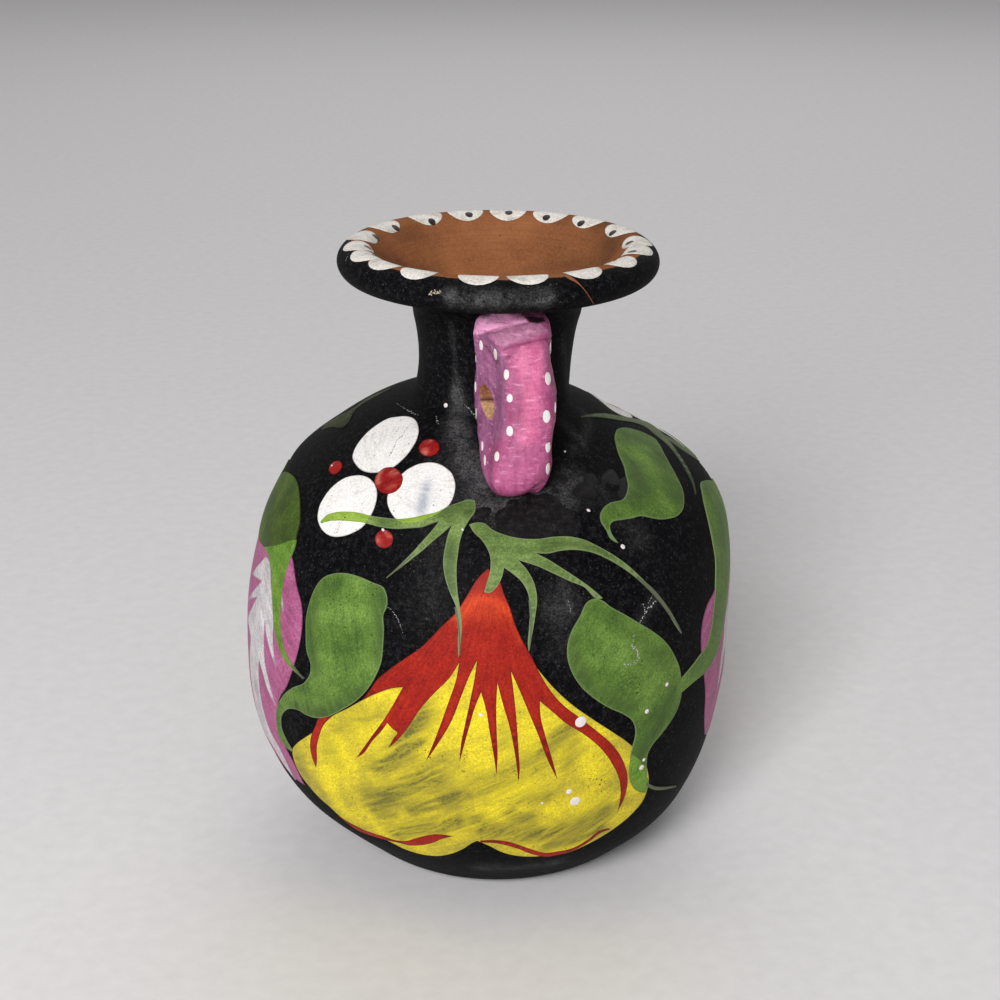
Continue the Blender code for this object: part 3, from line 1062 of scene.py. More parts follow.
def make_paint(name, body, brushed=0.5, grain=0.12, edge=None, shade=None, speck=None, gloss=0.35,
               brush_scale=(0.1, 1.6), patches=300):
    """Brushed paint. body is its (place, colour) stops. edge, shade and speck are the colours that show at
    the edge of a stroke, along its soft shading and in small flaws."""
    material, tree, shader, place = new_finish(name)
    drawn = read(tree, "brush", "Vector")
    bristles = cloud(tree, stretched(tree, drawn, (*brush_scale, 7.3)), 1.0, 4, 0.6, 0.5)
    mottle = cloud(tree, place, patches, 4)
    fine = cloud(tree, place, 2400, 3, 0.6)
    mixed = blend(tree, brushed, mottle, bristles)
    colour = tones(tree, mixed, *body)
    for noise_value in (fine, cloud(tree, place, 3600, 1)):
        colour = weighed(tree, colour, between(tree, noise_value, 1 - grain, 1 + grain))
    if shade:
        drag = cloud(tree, stretched(tree, drawn, (0.11, 0.7, 3.1)), 1.0, 4, 0.65, 0.7)
        broken = calc(tree, "MULTIPLY", between(tree, drag, 0.3, 1.6), between(tree, fine, 0.65, 1.3))
        soft = calc(tree, "MULTIPLY", read(tree, "shade"), broken)
        colour = tint(tree, node(tree, "ShaderNodeClamp", {"Value": soft}).outputs[0], colour, shade)
    if speck:
        flaws = cloud(tree, place, 1500, 2)
        colour = tint(tree, calc(tree, "MULTIPLY", rise(tree, flaws, 0.67, 0.73), 0.8), colour, speck)
    if edge:
        worn = calc(tree, "ADD", between(tree, fine, -0.06, 0.06), read(tree, "edge"))
        colour = tint(tree, rise(tree, worn, 0.0, 0.26), edge, colour)
    height = calc(tree, "ADD", calc(tree, "MULTIPLY", bristles, 0.8), calc(tree, "MULTIPLY", fine, 0.35))
    surface(tree, shader, colour, gloss, height, 0.05 * MM, between(tree, mixed, 0.42, 0.6))
    return material


def make_dab_finish(name, colour, flaw, gloss=0.4):
    """A touch of thick paint: nearly even, with a little grain."""
    material, tree, shader, place = new_finish(name)
    grain = cloud(tree, place, 1800, 3)
    body = tint(tree, between(tree, grain, 0.0, 0.35), colour, flaw)
    surface(tree, shader, body, gloss, grain, 0.03 * MM, between(tree, grain, 0.4, 0.55))
    return material


def make_ear_finish():
    """Pink paint dragged over lumpy clay: mauve with painted shade on the pinched flank, mauve on the slope,
    bare clay in the hole.
    """
    material, tree, shader, place = new_finish("pink_ear_paint")
    strokes = cloud(tree, stretched(tree, place, (1.0, 1.0, 0.2)), 900, 4, 0.6)
    scratches = cloud(tree, stretched(tree, place, (0.25, 0.4, 1.0), (0.0, 0.35, 0.0)), 1900, 3, 0.6)
    mottle = cloud(tree, place, 240, 4)
    fine = cloud(tree, place, 2600, 3)
    mixed = blend(tree, 0.5, strokes, mottle)
    clay = tones(tree, fine, (0.35, srgb(112, 66, 42)), (0.65, srgb(160, 100, 66)))
    pale_clay = tones(tree, fine, (0.35, srgb(166, 120, 84)), (0.65, srgb(208, 166, 122)))
    pinks = (0.34, srgb(144, 62, 100)), (0.5, srgb(168, 82, 124)), (0.66, srgb(192, 106, 146))
    colour = tones(tree, mixed, *pinks)
    for mark, *stops in (
        # Painted highlight down the ear's face
        ("glow", (0.34, srgb(190, 88, 130)), (0.66, srgb(216, 116, 158))),
        # Mauve on the flank, with painted shade where the ear faces left
        ("flank", (0.34, srgb(128, 72, 110)), (0.5, srgb(154, 92, 132)), (0.66, srgb(182, 112, 152))),
        ("slope", (0.36, srgb(154, 92, 126)), (0.64, srgb(198, 134, 166))),
        # Painted highlight on the ear's top ledge
        ("ledge", (0.34, srgb(252, 156, 208)), (0.66, srgb(255, 190, 228))),
        ("low", (0.35, srgb(148, 62, 104)), (0.65, srgb(188, 98, 142))),
    ):
        colour = tint(tree, read(tree, mark), colour, tones(tree, mixed, *stops))
    dragged = calc(tree, "MULTIPLY", rise(tree, scratches, 0.54, 0.68), 0.4)
    colour = tint(tree, dragged, colour, srgb(150, 66, 112))
    missed = calc(tree, "MULTIPLY", rise(tree, scratches, 0.42, 0.32), 0.35)
    colour = tint(tree, missed, colour, srgb(250, 176, 212))
    colour = weighed(tree, colour, between(tree, fine, 0.84, 1.16))
    flaws = calc(tree, "MULTIPLY", rise(tree, cloud(tree, place, 1100, 3), 0.62, 0.7), 0.25)
    colour = tint(tree, flaws, colour, srgb(110, 56, 84))
    for mark, shown in (
        # Painted shade along the pressed lines and round the ear's foot
        ("crease", srgb(74, 34, 58)),
        ("dark", srgb(36, 26, 32)),
        ("hole", tint(tree, read(tree, "low_hole"), clay, pale_clay)),
        ("crack", srgb(58, 32, 24)),
    ):
        colour = tint(tree, read(tree, mark), colour, shown)
    height = calc(tree, "ADD", calc(tree, "MULTIPLY", strokes, 0.5), mottle)
    height = calc(tree, "SUBTRACT", height, calc(tree, "MULTIPLY", dragged, 0.5))
    surface(tree, shader, colour, 0.3, height, 0.22 * MM, between(tree, fine, 0.45, 0.62))
    return material


# The wall, as the five pieces of clay that it is thrown and luted from


def make_wall_piece(name, part_name, slot_name, *row_runs):
    """A closed piece of the wall between its seams, shaded as one skin with its neighbours."""
    rows = [row for run in row_runs for row in run]
    sheet = flat_sheet(rows, name)
    places = np.array([vertex.co[:2] for vertex in sheet.vertices]) / MM
    put_attribute(sheet, "dust_and_lip_sheen", marked(places, soft_lines(DUST_AND_LIP_SHEEN, WALL_MARK_POINTS)))
    put_attribute(sheet, "mouth_darkening", marked(places, soft_lines(MOUTH_DARKENING, WALL_MARK_POINTS)))
    piece = grown(name, sheet, wrapped, Weld=WALL_WELD, Finish=wall_finish)
    piece.data.shade_smooth()
    normals = [wall_normals[wall_finder.find(vertex.co)[1]] for vertex in piece.data.vertices]
    piece.data.normals_split_custom_set_from_vertices(normals)
    return finished(piece, slot_name, part_name)


def make_wall():
    """The wall's pieces, each between the heights at which the CAD parts meet outside and inside."""
    base_out = row_at(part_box("lower_bowl")[0].z)
    base_in = row_at(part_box("base_disc")[1].z, True)
    belly_out = row_at(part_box("shoulder")[0].z)
    belly_in = row_at(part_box("lower_bowl")[1].z, True)
    neck_out = row_at(neck_root_height)
    neck_in = row_at(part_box("neck_collar")[0].z, True)
    rim_out = row_at(neck_top_height)
    rim_in = row_at(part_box("flared_rim")[0].z, True)
    base_rows = range(base_out + 1), range(base_in, len(section))
    make_wall_piece("base_wall", "base_disc", "black_ground", *base_rows)
    for name, part_name, low_out, high_out, high_in, low_in in (
        ("bowl_wall", "lower_bowl", base_out, belly_out, belly_in, base_in),
        ("shoulder_wall", "shoulder", belly_out, neck_out, neck_in, belly_in),
        ("neck_wall", "neck_collar", neck_out, rim_out, rim_in, neck_in),
    ):
        rows = range(low_out, high_out + 1), range(high_in, low_in + 1), [low_out]
        make_wall_piece(name, part_name, "black_ground", *rows)
    make_wall_piece("rim_wall", "flared_rim", "bare_clay", range(rim_out, rim_in + 1), [rim_out])


# Ears


def ear_ring(height):
    """One level of an ear, from its left root round the face to its right root, then back inside the wall."""
    face = by_height(EAR_FACE, height) * MM
    outer = slice(crest_row + 1)
    root = np.interp(height, section_heights[outer], section_radii[outer]) - EAR_ROOT_DEPTH
    if height > neck_top_height:
        root = min(root, face - EAR_LEAST_DEPTH)
    left, ridge, right = (by_height(table, height) * MM for table in (EAR_LEFT, EAR_RIDGE, EAR_RIGHT))
    deep = face - root
    full = min(max(deep / EAR_FULL_DEPTH, 0.05), 1)
    near, far = (by_height(EAR_FACE, height + slant * full) * MM for slant in (EAR_SLANT, -EAR_SLANT))
    pinch = by_height(EAR_PINCH, height) * MM
    # Across and outwards, from the left root round the face to the right one
    corners = (
        (left + 0.5 * MM, root),
        (left, root + 0.2 * deep),
        (left + (ridge - left) * 0.42 + pinch, root + 0.58 * deep),
        (ridge, near - 0.7 * MM * full),
        (ridge + 1.6 * MM * full, near - 0.05 * MM),
        ((ridge + right) / 2, face + 0.25 * MM * full),
        (right - 1.5 * MM * full, far - 0.6 * MM * full),
        (right - 0.2 * MM, face - 0.25 * deep),
        (right, root + 0.4 * deep),
        (right - 0.5 * MM, root),
    )
    last = len(corners) - 1
    ring = flowing(corners, EAR_ROW, [i in (0, last) for i in range(len(corners))], True)
    distances = walked(ring)
    steps = np.linspace(0, distances[-1], EAR_SIDES)
    lean = by_height(LEAN, max(height, EAR_LEAN_FROM)) * MM
    across = np.interp(steps, distances, ring[:, 0]) + lean * math.cos(CAMERA_AZIMUTH)
    depth = np.interp(steps, distances, ring[:, 1]) - lean * math.sin(CAMERA_AZIMUTH)
    return [(x, -radius, height) for x, radius in zip(across, depth)]


def hole_ring(across):
    """One end of the lens-shaped rod that pierces an ear from side to side."""
    ring = []
    for side in range(EAR_HOLE_SIDES):
        turn = 2 * math.pi * side / EAR_HOLE_SIDES
        up = EAR_HOLE_TALL / 2 * math.sin(turn)
        wide = EAR_HOLE_WIDTH / 2 * math.copysign(abs(math.cos(turn)) ** EAR_HOLE_POINT, math.cos(turn))
        ring.append((across, -(EAR_HOLE_REACH + wide - EAR_HOLE_SLANT * up), EAR_HOLE_HEIGHT + up))
    return ring


def loft(name, rings):
    """A closed solid through rings of points."""
    count = len(rings[0])
    points = [point for ring in rings for point in ring]
    faces = [tuple(range(count))[::-1], tuple(range(len(points) - count, len(points)))]
    for level in range(len(rings) - 1):
        for side in range(count):
            low, after = level * count + side, level * count + (side + 1) % count
            faces.append((low, after, after + count, low + count))
    mesh = bpy.data.meshes.new(name)
    mesh.from_pydata(points, [], faces)
    work = bmesh.new()
    work.from_mesh(mesh)
    bmesh.ops.recalc_face_normals(work, faces=work.faces)
    work.to_mesh(mesh)
    work.free()
    return stand_alone(name, mesh)


def kneaded_ear():
    """An ear as a lump of clay: lofted, pierced, remeshed and rubbed smooth."""
    heights = np.linspace(EAR_FACE[0][0] * MM, EAR_FACE[-1][0] * MM, EAR_LEVELS)
    solid = loft("ear_solid", [ear_ring(height) for height in heights])
    rod = loft("rod", [hole_ring(across) for across in (-EAR_HOLE_HALF_LENGTH, EAR_HOLE_HALF_LENGTH)])
    pierce = solid.modifiers.new("pierce", "BOOLEAN")
    pierce.operation, pierce.solver, pierce.object = "DIFFERENCE", "EXACT", rod
    knead = solid.modifiers.new("knead", "REMESH")
    knead.mode, knead.voxel_size = "VOXEL", EAR_VOXEL
    rub = solid.modifiers.new("rub", "SMOOTH")
    rub.factor, rub.iterations = 0.5, EAR_RUBS
    mesh = evaluated(solid)
    bpy.data.objects.remove(rod)
    return mesh


def ear_mesh():
    """A pinched and pierced ear in clay, with finger lumps and pressed lines, and what its finish reads."""
    mesh = kneaded_ear()
    points = np.array([vertex.co for vertex in mesh.vertices])
    normals = [vertex.normal.copy() for vertex in mesh.vertices]
    pixels = pixels_of(points)
    up = points[:, 2] - EAR_HOLE_HEIGHT
    out = -points[:, 1] - EAR_HOLE_REACH + EAR_HOLE_SLANT * up
    away = np.hypot(out / (EAR_HOLE_WIDTH / 2), up / (EAR_HOLE_TALL / 2))
    hollow = np.clip((EAR_BARE_REACH - away) / EAR_BARE_FADE, 0, 1)
    carved, crease_shade = np.zeros(len(points)), np.zeros(len(points))
    facing = np.array([normal.y < 0 for normal in normals])
    # Each pressed line sinks the clay, and paints shade along it
    for line, width, depth, darkness in EAR_CARVED:
        near = facing * np.exp(-((distance_along(flowing(line, 0.5), pixels) / width) ** 2))
        carved += depth * MM * near
        crease_shade = np.maximum(crease_shade, darkness * near)
    for i, (vertex, normal) in enumerate(zip(mesh.vertices, normals)):
        place = Vector(points[i])
        lump = noise.fractal(place * EAR_LUMP_SCALE, 1.0, 2.0, 3)
        crease = noise.noise(place * Vector(EAR_CREASE_SCALE))
        vertex.co = place + normal * (EAR_LUMPS * lump + EAR_CREASES * crease - carved[i])
    for name, polygon, blur in EAR_PATCHES:
        put_attribute(mesh, name, soft_patch(polygon, pixels, blur))
    # Painted shade on the mauve wherever the ear faces left
    to_the_left = np.array([-normal.x for normal in normals])
    to_the_left = np.clip((to_the_left - EAR_FLANK_FACING) / EAR_FLANK_FADE, 0, 1)
    put_attribute(mesh, "flank", np.maximum(soft_patch(EAR_FLANK, pixels, EAR_FLANK_BLUR), to_the_left))
    put_attribute(mesh, "crease", crease_shade)
    put_attribute(mesh, "hole", hollow)
    put_attribute(mesh, "low_hole", np.clip(-up / EAR_FLOOR_FADE, 0, 1))
    put_attribute(mesh, "crack", hollow * np.exp(-(((up + EAR_CRACK_DROP) / EAR_CRACK_WIDTH) ** 2)))
    mesh.materials.clear()
    mesh.materials.append(ear_finish)
    mesh.shade_smooth()
    return mesh


def ear_dots_mesh(ear):
    """A point with its turn and its size for each white dot on the ear, found along the lines of sight."""
    tree = BVHTree.FromPolygons([v.co for v in ear.vertices], [tuple(f.vertices) for f in ear.polygons])
    places, spins, sizes = [], [], []
    for x, y, high, wide in EAR_DOTS:
        hit, normal, _, way = sighted(tree, x, y, EAR_MIDDLE, EAR_NUDGE)
        up = normal.cross(way.cross(Vector((0, 0, 1)))).normalized()
        up *= math.copysign(1, up.z)
        places.append(hit)
        spins.append(Matrix((up.cross(normal), up, normal)).transposed().to_euler()[:])
        scale = (hit - camera_place).length / FOCAL_LENGTH_PIXELS
        tall = max((up - way * up.dot(way)).length, EAR_DOT_LEAST_SLANT)
        sizes.append((EAR_DOT_WIDTH * wide / 2, high * scale / 2 / tall, EAR_DOT_RELIEF))
    return points_mesh("ear_dots", places, spins, sizes)


def points_mesh(name, places, spins, sizes):
    """Loose points, each with its turn and its half sizes, for dabs to grow on."""
    mesh = bpy.data.meshes.new(name)
    mesh.from_pydata(places, [], [])
    put_attribute(mesh, "spin", spins, "FLOAT_VECTOR")
    put_attribute(mesh, "reach", sizes, "FLOAT_VECTOR")
    return mesh


def make_ears():
    """The front ear with its dots, and the same turned half round as the rear one."""
    front = ear_mesh()
    dots = grown("dots", ear_dots_mesh(front), dabs_on_ear, Fineness=DAB_FINENESS, Finish=white_dot_finish)
    for side, turn in (("front", 0.0), ("rear", math.pi)):
        half_turn = Matrix.Rotation(turn, 4, "Z")
        ear = front.copy()
        ear.transform(half_turn)
        finished(stand_alone(side + "_ear", ear), "pink_ear", side + "_lug")
        dotted = dots.data.copy()
        dotted.transform(half_turn)
        finished(stand_alone(side + "_ear_dots", dotted), "white_paint")
    bpy.data.objects.remove(dots)


# What the brush drew, in the photograph's pixels. A third item is a corner's mark or a stroke's width.
C = "corner"

PETALS = (
    ((353.2, 454.3), (359.7, 441.7), (371.2, 429.6), (385, 420.4), (398.7, 417), (410.2, 417.3),
     (415.4, 420.4), (418.3, 426.7), (418.3, 434.8), (414.8, 444), (406.8, 455.4), (396.4, 465.2),
     (385, 471), (373.5, 472.9), (363.1, 471), (356.3, 465.2)),
    ((318, 518.6), (319, 509.4), (324.1, 498), (333.3, 486.4), (343.6, 479), (355.1, 475.8), (364.3, 476.3),
     (371.8, 480.7), (376.3, 487.6), (377.2, 495.6), (375.2, 506), (370, 517.4), (363.1, 526.6),
     (354, 532.4), (342.5, 536.4), (332.1, 536.4), (325.3, 532.9), (320.7, 527.2)),
    ((396.4, 481.8), (403.3, 473.2), (414.8, 465.8), (426.3, 462.9), (436.6, 463.5), (445.8, 468.1),
     (452.7, 475.5), (455.3, 485.3), (453.8, 495.6), (449.3, 504.8), (440, 512.8), (429.7, 518.6),
     (419.4, 522), (407.9, 523.8), (398.7, 521.5), (391.8, 514), (388.2, 506), (387.5, 496.8)),
)
LEFT_SPRAY = (
    (321.2, 522, C), (327.6, 515.7), (336.7, 512.8), (348.2, 512.3), (359.7, 513.4), (371.2, 516.3),
    (385, 518.4), (398.7, 519.5), (410.2, 518.6), (424, 515.7), (436.6, 512.8), (448.1, 507.1),
    (459.6, 503.1), (469.9, 500.2), (475.1, 501.4, C), (475.1, 511.9), (470.5, 518.7), (463.6, 530.8),
    (459.3, 545.4), (457.2, 560.9), (456.7, 576.4), (457.6, 590.2), (460.1, 607.4), (461.9, 622.9),
    (461, 640.2), (458.4, 657.4, C), (458.1, 640), (458.4, 622.9), (455.8, 605.7), (450.7, 593.7),
    (445.5, 578.2), (443.4, 560.9), (446.4, 542), (452.4, 524.8, C), (447, 530), (434.3, 540.4),
    (424, 549.6), (412.5, 558.8), (387, 578, C), (410.2, 555.3), (421.7, 542.7), (432, 531.2),
    (439.5, 521.5, C), (432, 523.8), (422.8, 527.2), (410.2, 528.3), (397.6, 529.1), (380.4, 527.2),
    (364.3, 523.2), (349.4, 521.5), (339, 520.9), (329.9, 521.5), (321.8, 523.8, C),
)
RIGHT_SPRAY = (
    (469.3, 525.1, C), (474.8, 523.4), (485.1, 524.4), (492, 529.9), (504, 535.1), (519.5, 538.6),
    (536.8, 539.4), (554, 537.2), (571.2, 537.2), (585, 540.6), (598.8, 547.2), (612.5, 554.9),
    (626.3, 564.7), (638.4, 575.6), (650.4, 587.6), (660.8, 598.8), (671.1, 614.3), (680.6, 633.3, C),
    (676.3, 627.2), (665.9, 610), (653.9, 594.5), (640.1, 581.6), (624.6, 569.5), (609.1, 560.1),
    (593.6, 553.2), (576.4, 550.1), (560.9, 550.9), (547.1, 553.7), (535, 553.2, C), (547.1, 559.2),
    (560.9, 567.8), (578.1, 579), (590.2, 587.6), (602.2, 598, C), (597.9, 598.8), (583.3, 586.8),
    (571.2, 581.9), (554, 573.9), (536.8, 566.1), (523, 561.8), (517.8, 560.1, C), (526.4, 569.5),
    (533.3, 581.6), (536.8, 597.1), (535, 616), (532.5, 631.5), (528.5, 651.3, C), (527.8, 645.3),
    (529, 626.4), (529.9, 607.4), (527.3, 591.9), (521.3, 581.6), (512.7, 573.9), (504, 567.8, C),
    (501.5, 578.2), (495.4, 588.5), (489.4, 592.8), (484.2, 591.9, C), (486.8, 583.3), (490.3, 569.5),
    (489.4, 554), (481.7, 540.3), (473.1, 531.7),
)
SHOULDER_LEAF = (
    (616.6, 430.1, C), (624.2, 428.5), (632.9, 430.1), (643.8, 433.9), (652.4, 438.3), (657.9, 444.2),
    (663.3, 454), (669.8, 465.9), (676.3, 477.9), (681.7, 489.8), (683.3, 500.6), (681.7, 510.4),
    (676.3, 516.4), (667.6, 519.1), (658.9, 519.6), (650.3, 518), (641.6, 516.4), (631.8, 518.5),
    (621, 520.2), (612.3, 522.3), (609.6, 525.6), (610.7, 533.2), (617.7, 543.3, C), (610.1, 538.6),
    (605.8, 529.9), (600.9, 522.3), (599.8, 516.9), (602.5, 509.3), (609, 503.9), (622.1, 500.1),
    (626.4, 493), (627.5, 485.4), (625.9, 476.8), (623.1, 464.8), (618.8, 455.1), (616.1, 446.4),
    (614.5, 436.6),
)
RIGHT_FRONT_LEAF = (
    (586.7, 602.3), (592.7, 598.8), (602.2, 600.5), (609.2, 605.9), (623, 613.6), (638.3, 622.8),
    (652.1, 631.2), (664.3, 641.2), (673.5, 654.9), (678.9, 668.7), (680.4, 681), (680.4, 694.8),
    (676.6, 708.5), (668.9, 722.3), (659.7, 734.6), (652.1, 743.8), (647.5, 752), (645.9, 763.7),
    (646.5, 776), (647.7, 785), (644.4, 792, C), (635.2, 789.7), (629.1, 779), (629.1, 763.7),
    (630.5, 751.4), (632.9, 743.8), (635.2, 733), (632.9, 722.3), (623, 713.9), (610.7, 708.5),
    (596, 699.7), (580.7, 686.3), (571.2, 671), (567, 655.7), (567.2, 645.3), (571.2, 631.5), (579.8, 616),
)
LEFT_FRONT_LEAF = (
    (332.9, 574), (346.1, 573.2), (359.4, 576.5), (372.7, 582.3), (384.3, 588.1), (387.6, 598),
    (386.8, 608), (384.3, 613), (384.3, 629.6), (383.4, 646.1), (381.8, 661.1), (376, 676), (367.7, 689.3),
    (356.1, 700.9), (342.8, 709.2), (329.6, 715.8), (316.3, 717.4), (306.3, 714.1), (299.7, 710),
    (291.4, 708.3), (284.8, 711.6), (281.5, 719.1), (282.3, 729.1), (286.4, 739), (293.9, 751.4, C),
    (289.8, 749), (279.8, 735.7), (277.3, 722.4), (277.3, 710.8), (279, 704.2), (284.8, 694.2),
    (293.1, 687.6), (306.3, 681), (311.3, 671), (311.3, 662.7), (308, 652.8), (306.7, 632.9),
    (307.2, 616.3), (311.3, 599.7), (317.9, 584.8), (324.6, 577.3),
)
YELLOW_PETALS = (
    (293, 749.4), (296.7, 743.9), (304.5, 737.9), (313, 732.4), (322.9, 724.1), (332.9, 715.8),
    (347.8, 708.3), (362.7, 700), (376, 693.4), (394.2, 687.6), (403.3, 686.8), (430, 665), (460, 642),
    (495, 630), (520, 645), (540, 672), (557.8, 692), (573.1, 705.4), (592.2, 718.8), (611.4, 731.3),
    (626.7, 741.8), (640.1, 755.2), (646.8, 768.6), (647.7, 785.8), (642, 801.1), (630.5, 814.5),
    (611.4, 829.8), (588.4, 843.2), (565.4, 852.8), (542.5, 855.6), (519.5, 855.6), (502.3, 851.8),
    (490.8, 846.1), (477.4, 840.3, C), (473, 842.1), (463.3, 848.2), (450, 853.6), (435.5, 855.5),
    (420.9, 853.6), (405.2, 848.8), (393, 842.7), (374.8, 834.2), (359.1, 827), (342.1, 817.3),
    (330, 806.4), (319.1, 796.7), (309.4, 785.8), (302.1, 776.1), (294.2, 759.1),
)
RED_THROAT = (
    (487.9, 568.6, C), (498.5, 579.1), (504.2, 594.4), (509.9, 607.8), (514.7, 623.1), (521.4, 638.5),
    (531, 655.7), (540.5, 674.8), (550.1, 690.1), (561.6, 703.5), (578.8, 716.9), (596, 730.3),
    (611.4, 743.7), (622.8, 760.9), (627, 776.2), (623.8, 797.3), (617.1, 810.7, C), (620, 795.4),
    (619, 780.1), (611.4, 762.8), (598, 745.6), (582.6, 733.2), (565.4, 722.6), (552, 711.2),
    (539.6, 700.6, C), (540.5, 716.9), (545.3, 736), (552, 759), (557.2, 779.1, C), (547.2, 759),
    (538.6, 736), (529.1, 713.1), (519.5, 690.1), (510.9, 671, C), (513.8, 694), (516.6, 722.6),
    (518.5, 751.4), (519.5, 770.5), (518.2, 781, C), (513.8, 747.5), (509, 724.6), (502.3, 701.6),
    (497.5, 682.5, C), (496.2, 705.4), (496.5, 728.4), (497.5, 755.2), (496.5, 774.3, C), (493.7, 755.2),
    (489.8, 732.2), (486, 709.3), (481.2, 692, C), (475.5, 705.4), (469.8, 724.6), (465, 741.8),
    (459.6, 762, C), (461.1, 743.7), (465, 724.6), (470.7, 697.8), (474.5, 678.6), (477, 660.5, C),
    (469.8, 674.8), (462.1, 694), (450.6, 722.6), (439.1, 741.8), (425.8, 761.3, C), (439.1, 728.4),
    (448.7, 701.6), (456.4, 678.6), (459.2, 662.4, C), (448.7, 678.6), (435.3, 692), (420, 709.3),
    (409.2, 725.7), (399.2, 738.2), (388.6, 748, C), (394.2, 737.4), (397.6, 732), (392.6, 728.2),
    (387.6, 722.4, C), (384.3, 727.4), (372.7, 740.7), (362.7, 754), (357, 757.3, C), (371, 737.4),
    (384.3, 719.1), (392.6, 705.8), (400.9, 690.9), (403.3, 686.8, C), (394.2, 687.6), (376, 693.4),
    (362.7, 699.7, C), (369.4, 690.9), (377.6, 679.3), (389.3, 669.4), (405.8, 657.7), (420, 648),
    (441, 627), (456.4, 611.7), (467.8, 594.4), (477.4, 579.1),
)
THROAT_TOP = (488, 560)
RED_SIDE_STROKE = (
    (319.1, 717.9), (316.1, 725.2), (311.2, 738.5), (311.2, 750.6), (316.7, 767, C), (317.6, 757.9),
    (317.3, 748.2), (319.7, 736.1), (323.9, 725.2), (332.4, 716.1, C),
)
RED_HEM_LEFT = (
    (338.5, 814.8, C), (357.9, 827), (374.8, 833), (387, 836.7), (394.2, 839.1), (405.2, 840.3),
    (417.3, 837.3), (427, 834.8), (436.7, 833.6), (453, 835.5, C), (441.5, 838.5), (433, 842.1),
    (420.9, 844.5), (408.8, 844.5), (399.1, 842.1), (387, 839.5), (374.8, 836), (357.9, 829.5),
)
RED_HEM_RIGHT = (
    (480.3, 840.9, 2), (496.5, 841, 3.2), (508, 843, 4), (519.5, 846.6, 4), (531, 850.8, 4.4),
    (544.4, 854, 4), (557.8, 852.4, 3.4), (573.1, 848.4, 2.6), (588.4, 839.8, 2.4), (599.9, 831, 2.6),
    (609.4, 828.2, 1.4),
)

# Soft olive strokes on the yellow: points, width in mm, strength
OLIVE_STROKES = (
    (((379, 800), (388, 794), (400, 788), (418, 783), (434, 779)), 3.4, 0.8),
    (((372, 805), (382, 799), (394, 789)), 1.2, 0.9),
    (((404, 779), (425, 770), (446, 762)), 2.6, 0.45),
    (((379, 770), (391, 755), (405, 738), (417, 720), (424, 712)), 2.2, 0.75),
    (((386, 772), (398, 760), (410, 752), (420, 741)), 1.6, 0.7),
    (((412, 810), (429, 804), (446, 799), (468, 794)), 1.6, 0.85),
    (((396, 832), (420, 827), (439, 824), (456, 821)), 2.4, 0.8),
    (((336, 729), (350, 722), (367, 717), (381, 714)), 1.6, 0.4),
    (((331, 740), (334, 756), (340, 764)), 2.0, 0.3),
    (((297, 755), (304, 772), (314, 786), (328, 806), (343, 818), (372, 832)), 2.6, 0.4),
    (((369, 803), (381, 813), (393, 813)), 2.0, 0.6),
    (((479, 822), (493, 830), (519, 833), (546, 833), (570, 830), (591, 822), (603, 811)), 2.6, 0.8),
    (((549, 845), (567, 841), (583, 836), (599, 828)), 1.8, 0.7),
    (((546, 795), (527, 799), (514, 804), (511, 812), (519, 817), (531, 818)), 1.8, 0.6),
    (((541, 753), (551, 743), (562, 732), (570, 727)), 2.0, 0.65),
    (((567, 766), (570, 753), (578, 743)), 1.6, 0.4),
    (((450, 801), (466, 793), (482, 788), (498, 780), (519, 769), (538, 757)), 3.0, 0.55),
    (((466, 787), (477, 780), (493, 776), (503, 771)), 1.8, 0.55),
    (((501, 742), (503, 732)), 2.2, 0.4),
    (((594, 817), (610, 809), (623, 799)), 1.6, 0.5),
    (((444, 827), (455, 822)), 1.8, 0.6),
)
# Small dark specks: x, y and size in pixels
DARK_SPECKS = (
    (442.7, 756, 1.6), (390, 756, 1.2), (422.7, 766, 1.3), (412, 705, 1.0), (541, 763, 1.0),
    (372.5, 634.6, 1.8), (466, 585, 1.1), (638, 278.9, 1.4), (500, 236, 1.6), (560, 247, 1.3),
    (694.9, 706.5, 1.6),
)
# An orange glow low in the throat
ORANGE_GLOW = (
    (((459, 617), (471, 604), (485, 600), (499, 605), (511, 614)), 1.0, 0.85),
    (((476, 612), (496, 612)), 1.7, 0.5),
    (((511, 610), (517, 626), (522, 640)), 0.8, 0.55),
)
# Duller green on the leaves and the sprays
LEAF_SHADES = (
    (((316, 600), (312, 640), (318, 672)), 1.4, 0.5),
    (((345, 706), (315, 712), (292, 704)), 1.6, 0.7),
    (((379, 588), (382, 620), (378, 660)), 1.5, 0.55),
    (((366, 690), (340, 706)), 1.2, 0.5),
    (((573, 640), (576, 668), (598, 694), (624, 709)), 1.5, 0.6),
    (((672, 690), (660, 722), (645, 745), (637, 780)), 1.8, 0.6),
    (((600, 612), (640, 640), (662, 668)), 1.2, 0.3),
    (((625, 436), (648, 445), (662, 470), (676, 500)), 2.0, 0.6),
    (((630, 460), (640, 488), (632, 505)), 1.6, 0.5),
    (((448, 506), (470, 503), (468, 515)), 1.6, 0.6),
    (((452, 545), (448, 575), (453, 600)), 1.0, 0.6),
    (((423, 545), (400, 566)), 1.2, 0.6),
    (((545, 542), (600, 552), (650, 594)), 1.0, 0.5),
    (((528, 570), (531, 600), (529, 635)), 0.9, 0.45),
)
PETAL_SHADES = (
    (((426, 488), (424, 498), (421, 508)), 1.5, 1.0),
    (((411, 506), (418, 512)), 0.8, 0.3),
    (((362, 448), (372, 440)), 1.0, 0.2),
    (((327, 512), (331, 524)), 0.9, 0.25),
)
